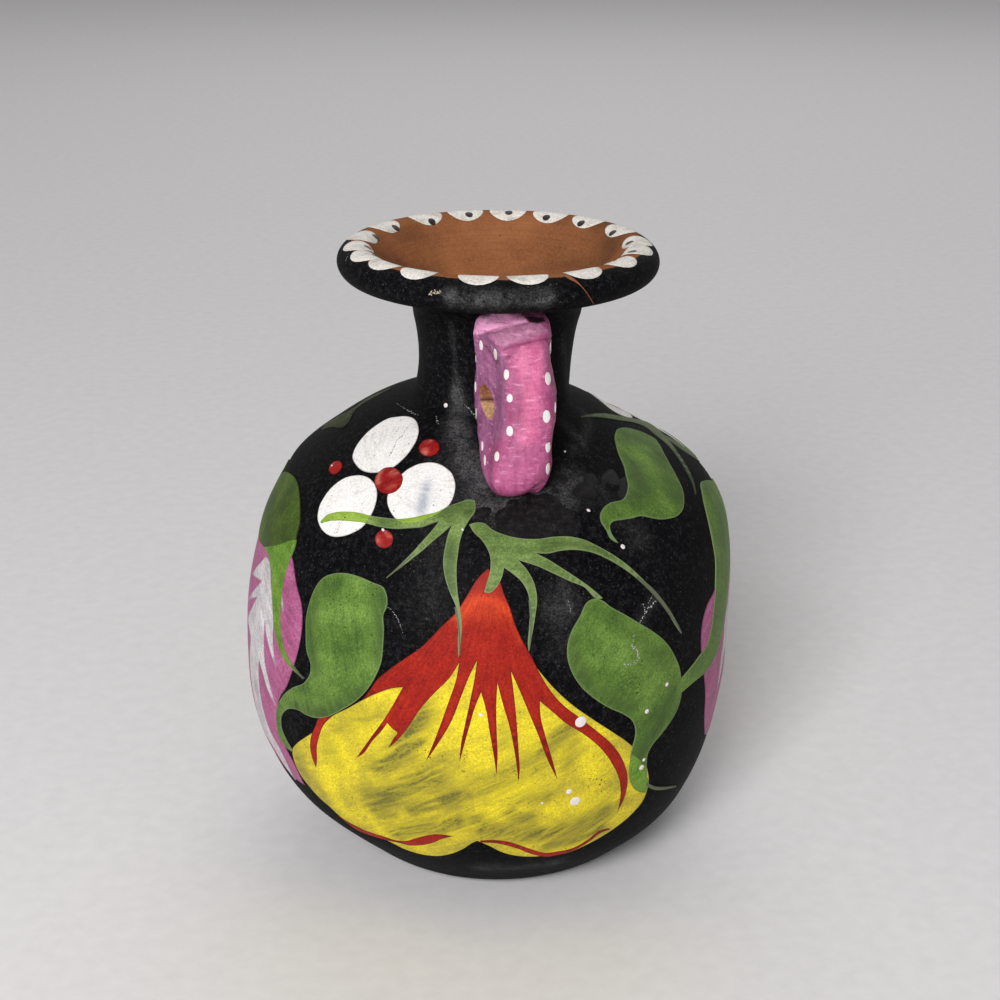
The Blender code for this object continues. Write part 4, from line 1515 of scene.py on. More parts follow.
# Lines of fine grains: x, y and width in pixels
HAIRLINES = (
    ((405, 430, 0.9), (402, 437, 1.2), (397, 441, 0.8), (394, 449, 1.2), (389, 457, 0.9)),
    ((399, 428, 0.7), (395, 434, 1.0), (392, 437, 0.6)),
    ((377, 431, 0.7), (373, 436, 0.9)),
    ((347.5, 514, 1.0), (344, 521, 1.3), (341, 524, 0.9), (338, 533, 1.2)),
    ((484, 592, 0.9), (482.4, 594.6, 1.3), (480.8, 597.1, 0.8)),
    ((366, 500, 0.7), (362, 505, 0.9)),
    ((305, 689, 1.0), (299, 691, 1.0)),
    ((624, 468, 0.8), (634, 474, 1.2), (640, 463, 0.8)),
)
SPECKLED = (
    ((421, 749, 7), (432, 760, 7)),
    ((461, 754, 6), (467, 761, 6)),
    ((515, 767, 6), (520, 779, 6)),
    ((587, 771, 8), (594, 777, 11), (603, 789, 9)),
    ((330, 590, 9), (345, 612, 9)),
    ((372, 590, 9), (380, 596, 8)),
    ((626, 676, 12), (640, 690, 10)),
    ((645, 770, 6), (640, 740, 6)),
)
SCRATCHES = (
    ((655.1, 601.3, 1.5), (649, 609, 2.6), (645, 614, 1.5), (639.8, 622.8, 2.2)),
    ((634, 634, 1.2), (632.2, 645.8, 2.4), (636.8, 651.9, 1.8), (636.8, 659.5, 2.4), (623, 664.1, 1.6)),
    ((643, 604, 1.0), (646, 612, 1.5)),
    ((652, 596, 0.8), (648, 603, 1.6)),
    ((384, 604, 0.7), (394, 613, 1.0), (403, 633, 0.7)),
    ((463.2, 404, 0.7), (471, 411, 1.2), (480, 424, 0.7)),
    ((403, 336, 0.8), (407, 344, 1.2)),
    ((398, 404, 0.8), (408, 411, 1.6), (420, 416, 0.8)),
    ((436, 415, 0.8), (438, 423, 1.6)),
    ((568, 600, 1.0), (571, 612, 0.7)),
    ((350, 250, 0.5), (345, 262, 1.0)),
)
# Worn, greyish ends of the green strokes
WORN_ENDS = (
    ((636, 577, 2.2), (650, 589, 3.6), (662, 603, 3.2), (671, 616, 2.4), (680.6, 633, 0.8)),
    ((292, 664.5, 1.2), (298, 672, 1.2), (304.5, 678.5, 0.8)),
    ((645, 783, 3.0), (654, 787.4, 3.2), (664, 787.5, 2.2), (675, 785.5, 0.8)),
    ((455.5, 607, 1.6), (459, 628, 1.6), (460, 655, 0.8)),
    ((529, 600, 1.2), (531, 625, 2.2), (529, 650, 0.8)),
    ((412, 556, 1.5), (400, 567, 1.6), (387, 578, 0.8)),
)
# A brown flake and a cream chip on the lip
LIP_FLAKE = ((565, 275.5, 1.6), (570, 278, 3.0), (576, 281.5, 1.8), (581, 286, 0.9), (593.8, 304.2, 0.5))
LIP_CHIP = ((429.5, 294.4, 2.5), (433, 292.5, 4.5), (437, 292.4, 3.5), (442, 291.2, 1.6))
# Glints on the berries, where the thick paint caught the light
BERRY_GLINTS = (
    (((379, 484), (378, 478), (382, 472)), 0.5, 0.6),
    (((391, 474), (398, 474)), 0.45, 0.45),
    (((388, 488), (395, 486)), 0.4, 0.35),
    (((423, 451), (427, 454)), 0.45, 0.6),
    (((427, 441.5), (433, 442)), 0.4, 0.4),
    (((379, 540), (380, 545)), 0.45, 0.6),
    (((386, 533), (390, 536)), 0.4, 0.4),
    (((332, 467), (334, 463)), 0.35, 0.4),
)

LEFT_EDGE_LEAF = (
    (260, 538.5), (264, 545.5), (267, 550), (270.2, 558), (272.4, 578), (273.5, 605), (275.8, 632),
    (283.8, 657), (303.8, 677.6, C), (291, 661), (284, 645), (281.5, 628), (281.5, 607), (284, 585),
    (290.6, 560), (295.2, 547.6), (297.6, 535.5), (300.4, 523.3), (300.9, 511.2), (300.6, 499.1),
    (299.4, 488.2), (296.4, 479.7), (290.9, 474.2), (284.8, 472.4), (281.2, 473.6),
)
RIGHT_EDGE_LEAF = (
    (713.2, 481.1), (704.5, 481.1), (700.2, 483.3), (701.2, 490.9), (704.5, 507.1), (708.8, 525.6),
    (712.1, 541.8), (714.9, 560), (714.9, 583), (712.6, 610.5), (710.3, 628.9), (705.7, 645.8),
    (699.5, 655), (690.4, 667.2), (681.2, 677.9, C), (679, 684), (681.2, 691.7, C), (691.9, 682.5),
    (705.7, 670.3), (713.3, 658), (719.4, 640), (722.5, 624), (725.5, 600),
)
BACK_TENDRIL = (
    ((580.8, 417.4, 1), (591.7, 416, 3), (602.5, 416, 4.3), (618.8, 418.6, 4.5), (635.1, 421.6, 4),
     (645.9, 425, 5), (656.8, 433, 6), (667, 442.5, 4), (678.5, 457.2, 3), (687.1, 471.3, 3),
     (692.6, 483.3, 2), (695.3, 494.7, 1)),
    ((662, 436, 2.5), (673, 442.1, 3), (685, 450.7, 3), (700.2, 461.6, 2.4), (709.9, 471.3, 1)),
)
# Where two of the leaves turn bright
TIP_PATCH = ((625, 752), (636, 757), (643, 764), (649, 772), (653, 800), (618, 800))
TAIL_PATCH = (
    (250, 547), (262, 547.5), (270, 546.5), (280, 545), (289, 541.5), (298, 540), (318, 545), (318, 690),
    (250, 690),
)
BACK_LEFT_STROKES = (
    ((284, 470, 0.8), (290, 461, 1.8), (303, 447, 1.8), (314, 437, 2.2), (324, 430, 2.6)),
    ((322, 430, 1.0), (328, 425.5, 5), (336, 423, 8), (344, 418, 8), (350, 413.5, 5), (356, 408, 2.4),
     (365, 401.5, 2.4), (380, 393.5, 2.2), (391, 388.5, 0.8)),
    ((333, 425, 4), (341, 424.5, 7), (347, 421, 5), (352, 414, 2)),
)
# Damp stains in the ground round the ear's foot
DAMP_STAINS = (
    ((495, 521), (497, 512), (505, 507), (510, 500), (519, 499), (525, 493), (537, 495), (545, 493),
     (556, 498), (563, 506), (571, 511), (573, 520), (580, 530), (572, 537), (560, 536), (552, 539),
     (536, 538), (519.5, 538), (506, 535)),
    ((573, 494), (577, 486), (583, 482), (585, 475), (593, 474), (598, 480), (594, 488), (597, 495),
     (588, 499), (580, 497)),
    ((601, 480), (606, 472), (613, 470), (618, 476), (613, 485), (608, 483), (604, 489)),
    ((618, 497), (620, 488), (619, 480), (626, 478), (630, 486), (627, 495), (622, 501)),
    ((474, 514), (480, 508), (491, 509), (489, 516), (480, 518)),
    ((556, 478), (562, 474), (568, 478), (562, 484)),
)
# Dust on the ground, and a painted highlight along the front of the lip: points, width in mm, strength
DUST_AND_LIP_SHEEN = (
    (((452, 330), (456, 380), (462, 440)), 1.6, 0.3),
    (((408, 310), (414, 340)), 1.0, 0.35),
    (((562, 340), (566, 400), (572, 450)), 1.6, 0.22),
    (((455, 395), (458, 430), (468, 462), (480, 487)), 3.0, 0.75),
    (((474, 500), (505, 506), (545, 500), (575, 480)), 3.2, 0.55),
    (((566, 425), (580, 440)), 2.5, 0.35),
    (((430, 470), (450, 500)), 3.0, 0.22),
    (((600, 490), (640, 540)), 3.0, 0.15),
    (((440, 545), (430, 600)), 4.0, 0.14),
    # A painted highlight along the lip's front
    (((450, 297), (500, 300), (550, 297)), 1.5, 0.7),
    (((655.1, 601.3), (640, 622), (634, 652)), 1.2, 0.3),
    (((560, 600), (570, 640)), 3.0, 0.3),
    (((480, 868), (560, 862)), 2.0, 0.35),
)
# Darker brown patches on the bare clay of the mouth, at its sides and low across it
MOUTH_DARKENING = (
    (((598, 222), (613, 238), (612, 255)), 3.2, 0.45),
    (((560, 218), (600, 232)), 2.5, 0.25),
    (((372, 238), (380, 252), (400, 262)), 2.8, 0.3),
    (((420, 232), (400, 240)), 2.0, 0.25),
    (((440, 268), (520, 272), (590, 266)), 1.6, 0.25),
)
# White dots, and painted highlights on two berries: middle and radius in pixels
WHITE_DOTS = (
    (445.8, 405.3, 2.4), (564.9, 451.5, 1.4), (588.4, 510.4, 1.7), (622.8, 546.7, 2.4), (462.7, 530.3, 1.2),
    # Of these, (383.5, 530.3) and (332.5, 466.4) are painted highlights on berries
    (383.5, 530.3, 1.7), (332.5, 466.4, 1), (580.3, 721.3, 6.0), (575, 800.7, 5.6), (568.9, 791.1, 3.2),
    (541.9, 802.6, 1.3), (645.9, 710.8, 2.6), (642.9, 759.1, 2.0), (640.6, 766.7, 3.1), (665.8, 684, 2.3),
    (480.7, 714.6, 2.1),
)
# Red berries: middle, width and height in pixels, and turn in degrees. The first is the flower's middle, and
# one of them has no twin on the far shoulder.
BERRIES = (
    (388.9, 481, 29, 26, 30), (429.4, 448.3, 21, 17.5, 10), (336, 468, 15.5, 11, 45),
    (384.4, 539.3, 18.6, 18.6),
)
LONE_BERRY = 2

# On the ear: dots with their height in pixels and a share of the usual width
EAR_DOTS = (
    (481.1, 345.2, 10, 0.9), (495.4, 354.3, 10.5, 1.1), (476.1, 357.5, 9, 0.7), (506.4, 374.4, 11.5, 1),
    (475.5, 387, 11, 0.7), (509.7, 398.2, 8.5, 1), (476.2, 413.9, 11, 0.7), (509.7, 431.2, 10.5, 1.1),
    (482.4, 446.6, 11, 0.5), (496.8, 456.4, 10, 1.1), (484.9, 460, 11, 0.5), (550.4, 348.4, 11, 0.9),
    (548, 378.6, 13, 1.2), (555.3, 407.3, 11, 0.6), (546.6, 416.5, 13, 1.25), (548, 446.6, 12, 1.1),
    (548, 468.4, 12, 1.1),
)
# Lines pressed into it, with their width in pixels, depth in mm and the darkness of the painted shade along
# them
EAR_CARVED = (
    (((484.9, 347.7), (490, 355), (496.1, 361.7)), 1.4, 0.5, 0.8),
    (((505, 357.5), (509.5, 356.5)), 1.0, 0.35, 0.7),
    (((503, 349), (514, 344.5), (528, 342), (541, 339), (551, 338)), 1.3, 0.2, 0.35),
    (((478, 331), (492, 331.5), (508, 326), (526, 322.5)), 1.2, 0.22, 0.25),
    (((486, 380), (494, 393), (497, 406)), 1.4, 0.18, 0.4),
    (((499, 352), (504, 370), (503, 390)), 3.0, 0.0, 0.25),
    (((486, 489), (505, 497), (525, 496), (542, 488)), 1.5, 0.0, 0.5),
)
# Its painted patches, with the softness of their edges in pixels. The glow and the ledge are painted
# highlights, down the face and on the top.
EAR_PATCHES = (
    ("ledge", ((471, 312), (506, 312), (520, 314), (527, 318.4), (528, 321.6), (520, 322.6), (510, 323.8),
               (500, 326.4), (494, 328.6), (488, 330.6), (484, 333), (478, 334.5), (470, 334)), 1.6),
    ("slope", ((488, 331), (500, 326.6), (510, 324), (526, 322), (540, 322), (547, 329), (546, 333),
               (536, 336), (524, 340), (510, 343.5), (503, 348), (496, 343), (490, 337)), 2.2),
    ("glow", ((520, 347), (535, 343), (545, 350), (543, 372), (541, 395), (542, 415), (538, 440),
              (528, 450), (520, 440), (522, 425), (523, 400), (521, 380), (515, 362)), 8.0),
    ("low", ((486, 446), (500, 440), (520, 455), (545, 442), (556, 440), (556, 505), (486, 505)), 16.0),
    ("dark", ((524, 316.5), (532, 316), (543, 317), (546, 321), (538, 323.5), (530, 322.5)), 1.5),
)
EAR_FLANK = (
    (465, 336), (484, 336), (494, 342), (503, 350), (506, 360), (502, 372), (500, 386), (499, 398),
    (503, 412), (500, 430), (496, 442), (486, 458), (465, 450),
)

# Blooms on the sides: the edges that the photograph shows
LEFT_BLOOM_SEEN = (
    (293.1, 559.9), (297.2, 586.4), (302.2, 606.3), (302.5, 626.2), (298, 652.8), (293.1, 669.4),
    (287.3, 685.9), (279.8, 699.2), (277.5, 712), (278.1, 722.4), (284.8, 744), (294.7, 763.9),
    (305, 785, C),
)
LEFT_FEATHER_SEEN = (
    (266.7, 556.5, C), (270.5, 562), (271.5, 578), (273.2, 605), (274.2, 619), (273.7, 640),
    (277.2, 668.6, C), (271.3, 652.7), (267.9, 639), (265.6, 621, C), (264.8, 641.4), (266, 664),
    (270.5, 684), (277, 707, C), (268, 688), (263, 671), (259.9, 659.5, C), (259.5, 676), (261.8, 698),
    (269.8, 727.6), (281.4, 750), (296.2, 779.7, C), (287.5, 768), (275, 748), (261.5, 722), (255.2, 698),
    (251.8, 676), (250.6, 655), (251.5, 638), (247.6, 619, C), (253, 607), (258, 597, C), (248.9, 600.8, C),
    (255, 590), (262.5, 581, C), (253.2, 573.6, C), (260, 564),
)
LEFT_SLIVER = ((281.5, 591.4, 1), (282.4, 600, 2.2), (283.9, 611.3, 0.8))
RIGHT_BLOOM_SEEN = (
    (704.1, 734.6, C), (704.1, 713.1), (704.9, 690.2), (703, 670.3), (701.3, 658), (700.8, 645), (701.1, 632),
    (703.4, 616.7), (707.2, 604.4), (713.3, 592.2),
)
# The right feather's seen part lies along the jug's edge, and there it is partly a painted highlight
RIGHT_FEATHER_AND_EDGE_HIGHLIGHT = ((716, 690, C), (718.5, 672), (720.5, 655), (722.5, 640), (724, 621), (727, 598))

# Their other edges, which it doesn't show: degrees round the jug from the camera, and mm along the section,
# and the places that their brush lines fan out from
BLOOM_TOPS = ((-88, 96), (92, 97))
LEFT_BLOOM_HIDDEN = (
    (-58, 51), (-67, 53), (-78, 56.5, C), (-88, 52.5), (-100, 52), (-112, 56), (-120, 63), (-123, 72),
    (-119, 82), (-110, 89.5), (-96, 94), (-80, 95), (-66, 95),
)
LEFT_FEATHER_HIDDEN = (
    (-89, 90, C), (-87, 81), (-88, 72), (-89, 64), (-92, 57, C), (-93, 66), (-94, 74, C), (-98, 67),
    (-103, 60, C), (-102, 70), (-101, 77, C), (-105, 72), (-113, 67, C), (-108, 76), (-105, 82, C),
    (-110, 79), (-118, 77, C), (-110, 84), (-101, 90),
)
RIGHT_BLOOM_HIDDEN = (
    (69, 91), (80, 94), (94, 95), (108, 93), (121, 87), (129, 78), (130, 69), (125, 60), (115, 54),
    (103, 52.5), (93, 55.5, C), (83, 52.5), (72, 54),
)
RIGHT_FEATHER_HIDDEN = (
    (82, 89), (92, 91), (103, 88), (112, 82), (118, 74, C), (110, 78), (104, 80, C), (108, 73), (111, 65, C),
    (104, 71), (99, 76, C), (101, 67), (102, 59, C), (97, 67), (94, 74, C), (93, 67), (91, 60, C), (89, 67),
    (88, 74, C), (84, 68), (80, 62, C), (79, 69),
)
# The hidden sides of the edge leaves, and the calyx strokes over the side blooms with their width in mm
LEFT_LEAF_HIDDEN = ((-94, 103), (-98, 99), (-97, 94), (-90, 90))
RIGHT_LEAF_HIDDEN = ((84, 87.5), (91, 89), (97, 92.5), (98, 96.5))
CALYX_STROKES = (
    ((0, 99, 1.4), (7, 101, 2.4), (15, 98.5, 2.2), (22, 93, 0.5)),
    ((1, 99, 1.4), (6, 94.5, 2.4), (9, 88, 2.0), (11, 80, 0.4)),
    ((1, 99, 1.6), (1, 92, 2.4), (0, 84, 1.8), (-1, 77, 0.4)),
    ((2, 98, 1.6), (8, 100.5, 2.2), (16, 101.5, 1.8), (25, 100.5, 0.5)),
)
# Where each side's calyx sits, in degrees, whether it is mirrored, and the layer of each of its strokes
CALYX_TURNS = ((106, 1), (-107, -1))
CALYX_LAYERS = (5, 4, 3, 6)

# Degrees by which the front's flowers are turned to the back, and where the white flower's twin sits
BACK_TURN = 180
BACK_FLOWER_PLACE = (129.5, 109)

# Rim scallops: where each is, and the black dot on it where the photograph shows one
SCALLOPS = (
    (425, 213, 431.8, 221.8), (465.5, 209.5, 469, 214.7), (508, 208.5, 508.8, 212.8),
    (550, 212, 546.4, 217.6), (587, 217.8, 581, 223.4), (618.5, 226.8, 612.7, 233), (646, 239, 629.5, 243),
    (650, 252.5, 632.1, 251.8), (386, 222.5, 395.4, 227.8), (360, 232.5, 376.1, 237.3),
    (347, 245, 368, 247.7), (355, 258.5, 0, 0), (376, 267, 0, 0), (413, 275.5, 0, 0), (477, 281, 0, 0),
    (530, 281, 0, 0), (589, 274.5, 0, 0), (630, 264, 0, 0),
)


# Finishes of this jug

wall_finish = make_wall_finish()
ear_finish = make_ear_finish()
white_finish = make_paint(
    "brushed_white", ((0.34, srgb(220, 216, 212)), (0.48, srgb(246, 243, 239)), (0.7, srgb(253, 252, 249))),
    grain=0.1, edge=srgb(194, 190, 186), shade=srgb(182, 186, 195), speck=srgb(150, 144, 138))
yellow_finish = make_paint(
    "brushed_yellow", ((0.36, srgb(172, 160, 52)), (0.48, srgb(206, 187, 48)), (0.6, srgb(232, 212, 44))),
    brushed=0.34, brush_scale=(0.13, 0.75), grain=0.16, patches=150, gloss=0.15,
    edge=srgb(184, 166, 50), shade=srgb(110, 106, 46), speck=srgb(122, 114, 44))
red_finish = make_paint(
    "brushed_red", ((0.3, srgb(130, 23, 18)), (0.5, srgb(155, 33, 22)), (0.7, srgb(176, 45, 28))),
    grain=0.2, edge=srgb(118, 24, 20), shade=srgb(216, 74, 34), speck=srgb(110, 22, 18), gloss=0.12)
# Its shade colour is the pale of the painted glints on the berries
berry_finish = make_paint(
    "berry_red", ((0.3, srgb(112, 14, 18)), (0.5, srgb(142, 22, 22)), (0.7, srgb(168, 34, 28))),
    grain=0.2, edge=srgb(70, 10, 14), shade=srgb(226, 130, 116), gloss=0.15)
green_finish = make_paint(
    "thin_green", ((0.34, srgb(68, 95, 40)), (0.5, srgb(91, 121, 51)), (0.66, srgb(114, 145, 66))),
    brushed=0.25, grain=0.24, patches=170, gloss=0.12,
    edge=srgb(112, 132, 86), shade=srgb(60, 80, 40), speck=srgb(58, 76, 38))
# A darker copy of the green, as painted shade on the left edge leaf
green_painted_shade_finish = make_paint(
    "green_with_painted_shade", ((0.36, srgb(50, 66, 24)), (0.5, srgb(68, 88, 32)), (0.64, srgb(88, 108, 46))),
    brushed=0.25, grain=0.24, patches=170, gloss=0.08,
    edge=srgb(48, 62, 32), shade=srgb(40, 54, 26), speck=srgb(42, 56, 28))
green_on_white_finish = make_paint(
    "green_over_white", ((0.3, srgb(112, 146, 40)), (0.5, srgb(142, 172, 62)), (0.7, srgb(168, 192, 88))),
    grain=0.14, edge=srgb(122, 152, 52), gloss=0.25)
pale_green_finish = make_paint(
    "washed_green", ((0.3, srgb(62, 72, 46)), (0.5, srgb(84, 98, 60)), (0.7, srgb(112, 128, 82))),
    grain=0.25, edge=srgb(48, 56, 40), gloss=0.15)
spray_finish = make_paint(
    "pale_spray_green", ((0.36, srgb(78, 98, 50)), (0.5, srgb(104, 127, 66)), (0.64, srgb(130, 151, 88))),
    brushed=0.3, grain=0.24, edge=srgb(120, 138, 92), shade=srgb(66, 84, 44), patches=170, gloss=0.12)
bright_green_finish = make_paint(
    "bright_green", ((0.34, srgb(74, 106, 34)), (0.5, srgb(98, 136, 45)), (0.66, srgb(120, 156, 60))),
    brushed=0.3, grain=0.2, edge=srgb(112, 132, 70), gloss=0.12)
# A darker copy of the green, as painted shade on the strokes at the left of the shoulder
strokes_painted_shade_finish = make_paint(
    "green_darkened_as_painted_shade", ((0.36, srgb(30, 34, 22)), (0.5, srgb(54, 60, 35)), (0.64, srgb(78, 84, 52))),
    brushed=0.3, grain=0.3, edge=srgb(40, 44, 30), gloss=0.05, patches=400)
worn_green_finish = make_paint(
    "worn_green", ((0.3, srgb(92, 100, 76)), (0.5, srgb(136, 144, 114)), (0.7, srgb(170, 176, 150))),
    grain=0.3, edge=srgb(96, 102, 80), gloss=0.1, patches=600)
pink_finish = make_paint(
    "washed_pink", ((0.3, srgb(140, 66, 104)), (0.5, srgb(168, 88, 130)), (0.7, srgb(192, 114, 156))),
    grain=0.2, edge=srgb(112, 58, 88), shade=srgb(96, 52, 78), speck=srgb(104, 54, 82), gloss=0.2)
feather_finish = make_paint(
    "dragged_white", ((0.32, srgb(160, 148, 154)), (0.5, srgb(200, 194, 196)), (0.66, srgb(224, 220, 220))),
    grain=0.16, edge=srgb(166, 146, 158), shade=srgb(176, 120, 150), gloss=0.25)
stain_finish = make_paint(
    "damp_stain", ((0.3, srgb(9, 8, 9)), (0.5, srgb(19, 17, 18)), (0.7, srgb(36, 34, 35))),
    brushed=0.1, grain=0.4, edge=srgb(7, 6, 7), gloss=0.15, patches=900)
scallop_finish = make_paint(
    "worn_white", ((0.3, srgb(192, 185, 176)), (0.46, srgb(224, 218, 209)), (0.7, srgb(238, 234, 227))),
    brushed=0.0, grain=0.16, patches=420, gloss=0.25)
grain_finish = make_dab_finish("chalk_grains", srgb(176, 180, 176), srgb(120, 124, 118), gloss=0.1)
flake_finish = make_dab_finish("flaked_clay", srgb(150, 90, 58), srgb(98, 60, 44), gloss=0.1)
chip_finish = make_dab_finish("chipped_slip", srgb(196, 184, 158), srgb(128, 112, 92), gloss=0.1)
speck_finish = make_dab_finish("dark_specks", srgb(52, 44, 26), srgb(86, 78, 40), gloss=0.1)
white_dot_finish = make_dab_finish("white_dots", srgb(236, 228, 226), srgb(204, 190, 190))
black_dot_finish = make_dab_finish("black_dots", srgb(20, 18, 20), srgb(40, 36, 36))


# The painting, from the white flower down to the leaves

flower_middle = np.array(on_chart(*BERRIES[0][:2]))
back_flower_middle = np.array(hidden((BACK_FLOWER_PLACE,))[0][:2])


def with_far_twins(shapes):
    """Shapes of the white flower, then the same in its twin on the far shoulder."""
    return shapes + [shape - flower_middle + back_flower_middle for shape in shapes]


def twice(marks):
    """Soft marks on the front, and the same on the back."""
    near = soft_lines(marks, FILM_MARK_POINTS)
    return near + [(turned(line, BACK_TURN), width, strength) for line, width, strength in near]


def paint_white_flowers(petals):
    """Damp stains in the ground, the white flower and its twin, and their red berries."""
    stains = [(sides_of(points), straight(40)) for points in DAMP_STAINS]
    paint("damp_stains", stain_finish, "black_ground", 0, stains)
    fans = [fan_from(flower_middle)] * len(PETALS) + [fan_from(back_flower_middle)] * len(PETALS)
    paint("white_petals", white_finish, "white_paint", 1, list(zip(petals, fans)),
          shades=soft_lines(PETAL_SHADES, FILM_MARK_POINTS))
    berries = [ellipse(*berry) for berry in BERRIES]
    far_berries = with_far_twins(berries)[len(berries):]
    del far_berries[LONE_BERRY]
    berries = [(berry, straight(30)) for berry in berries + far_berries]
    paint("red_berries", berry_finish, "red_paint", 2, berries, relief=BERRY_RELIEF,
          shades=soft_lines(BERRY_GLINTS, FILM_MARK_POINTS))


def paint_yellow_flowers():
    """The yellow flower with its red throat, on the front and on the back."""
    yellow = sides_of(YELLOW_PETALS)
    yellows = [(turned(yellow, turn), straight(28)) for turn in (0, BACK_TURN)]
    paint("yellow_petals", yellow_finish, "yellow_paint", 1, yellows, shades=twice(OLIVE_STROKES),
          fill=YELLOW_FILL_STEP)
    top = on_chart(*THROAT_TOP)
    red = [sides_of(RED_THROAT), sides_of(RED_SIDE_STROKE), sides_of(RED_HEM_LEFT), stroke(RED_HEM_RIGHT)]
    reds = [(turned(shape, turn), fan_from(turned(top, turn))) for turn in (0, BACK_TURN) for shape in red]
    paint("red_throat", red_finish, "red_paint", 2, reds, shades=twice(ORANGE_GLOW))


def paint_side_blooms():
    """The pink bloom on each side, with its white feathers."""
    left_fan, right_fan = (fan_from(place[:2]) for place in hidden(BLOOM_TOPS))
    blooms = [
        (sides_of(LEFT_BLOOM_SEEN, LEFT_BLOOM_HIDDEN), left_fan),
        (sides_of(RIGHT_BLOOM_SEEN, RIGHT_BLOOM_HIDDEN), right_fan),
    ]
    paint("pink_petals", pink_finish, "mauve_paint", 1, blooms)
    feathers = [
        (sides_of(LEFT_FEATHER_SEEN), left_fan),
        (outline(hidden(LEFT_FEATHER_HIDDEN)), left_fan),
        (stroke(LEFT_SLIVER), left_fan),
        # The right feather is partly a painted highlight along the jug's edge
        (sides_of(RIGHT_FEATHER_AND_EDGE_HIGHLIGHT, RIGHT_FEATHER_HIDDEN), right_fan),
    ]
    paint("white_feathers", feather_finish, "white_paint", 2, feathers)


def paint_greens(petals):
    """Sprays, the strokes over the side blooms, and the leaves with their bright ends."""
    leaf_shades = twice(LEAF_SHADES)
    sprays = [sides_of(LEFT_SPRAY), sides_of(RIGHT_SPRAY)]
    sprays = [(turned(spray, turn), straight(0)) for turn in (0, BACK_TURN) for spray in sprays]
    paint("green_sprays", spray_finish, "green_paint", 3, sprays, clear_of=petals, shades=leaf_shades)
    calyxes = [chart_stroke(points, turn, flip) for turn, flip in CALYX_TURNS for points in CALYX_STROKES]
    calyxes = [(shape, straight(60)) for shape in calyxes]
    paint("calyxes", green_finish, "green_paint", CALYX_LAYERS * len(CALYX_TURNS), calyxes)
    paint("green_over_petals", green_on_white_finish, "green_paint", 3, sprays[::2], over=petals)
    leaves = [(sides_of(RIGHT_FRONT_LEAF), straight(50)), (sides_of(LEFT_FRONT_LEAF), straight(110))]
    leaves += [(turned(leaf, BACK_TURN), lines) for leaf, lines in leaves]
    leaves.append((sides_of(SHOULDER_LEAF), straight(60)))
    leaves.append((sides_of(RIGHT_EDGE_LEAF, RIGHT_LEAF_HIDDEN), straight(80)))
    left_leaf = (sides_of(LEFT_EDGE_LEAF, LEFT_LEAF_HIDDEN), straight(80))
    tail, tip = sides_of(TAIL_PATCH), sides_of(TIP_PATCH)
    paint("green_leaves", green_finish, "green_paint", 3, leaves, clear_of=[tip], shades=leaf_shades)
    paint("bright_leaf_ends", bright_green_finish, "green_paint", 3, [left_leaf, leaves[0]], over=[tail, tip])
    # The left edge leaf, away from its bright tail, in darker green as painted shade
    paint("deep_green_leaf", green_painted_shade_finish, "green_paint", 3, [left_leaf], clear_of=[tail, tip])


def paint_thin_strokes():
    """Strokes at the edges of the view, worn ends of the greens, and the flake on the lip."""
    for name, finish, slot_name, layer, strokes in (
        # Strokes at the left of the shoulder, darkened as painted shade
        ("dim_strokes", strokes_painted_shade_finish, "green_paint", (0, 1, 2), BACK_LEFT_STROKES),
        ("washed_tendrils", pale_green_finish, "green_paint", 2, BACK_TENDRIL),
        ("worn_green_ends", worn_green_finish, "green_paint", 4, WORN_ENDS),
        ("lip_flake", flake_finish, "bare_clay", 0, [LIP_FLAKE]),
    ):
        paint(name, finish, slot_name, layer, [(stroke(points), straight(0)) for points in strokes])


# Dots


def paint_dots(name, finish, slot_name, dots, fineness=DAB_FINENESS):
    """Rounded dabs on the wall: chart place in mm, lift off the clay and half sizes in metres."""
    places = [(x * MM, y * MM, lift) for x, y, lift, _ in dots]
    mesh = points_mesh(name, places, [(0, 0, 0)] * len(dots), [reach for *_, reach in dots])
    finished(grown(name, mesh, dabs_on_wall, Fineness=fineness, Finish=finish), slot_name)


def at_radius(along):
    """How much wider the chart is than the wall at a place along the section in mm."""
    return belly_radius / np.interp(along * MM, lengths, section_radii)


def paint_rim():
    """A fringe of scallops over the lip, each with a black dot."""
    random.seed(18)
    scallops, dots = [], []
    middle = crest_length / MM + SCALLOP_SETBACK
    for x, y, dot_x, dot_y in SCALLOPS:
        far = y < RIM_MIDDLE_ROW
        side = math.pi if far else 0.0
        across = on_chart(x, y + (FAR_SCALLOP_NUDGE if far else 0), side)[0]
        wide = SCALLOP_WIDTH * random.uniform(*SCALLOP_WIDTH_RANGE) / 2
        long = SCALLOP_LENGTH * random.uniform(*SCALLOP_LENGTH_RANGE) / 2
        reach = (wide * MM * at_radius(middle), long * MM, SCALLOP_RELIEF)
        scallops.append((across, middle, PAINT_LIFT * MM, reach))
        dot = on_chart(dot_x, dot_y, side) if dot_x else (across, middle + long * 0.5)
        reach = (RIM_DOT_SIZE * at_radius(dot[1]), RIM_DOT_SIZE * RIM_DOT_STRETCH, RIM_DOT_RELIEF)
        dots.append((*dot, SCALLOP_RELIEF + PAINT_LIFT * MM, reach))
    paint_dots("rim_scallops", scallop_finish, "white_paint", scallops)
    paint_dots("rim_dots", black_dot_finish, "black_ground", dots)


def dabs(marks, relief):
    """Dabs that sit on the paint under them, from their pixels and their radii in pixels."""
    places = np.array([on_chart(x, y) for x, y, _ in marks])
    radii = [radius / PIXELS_PER_MM * MM for _, _, radius in marks]
    return [(*place, lift, (radius * at_radius(place[1]), radius, relief))
            for place, lift, radius in zip(places, lifts_at(places), radii)]


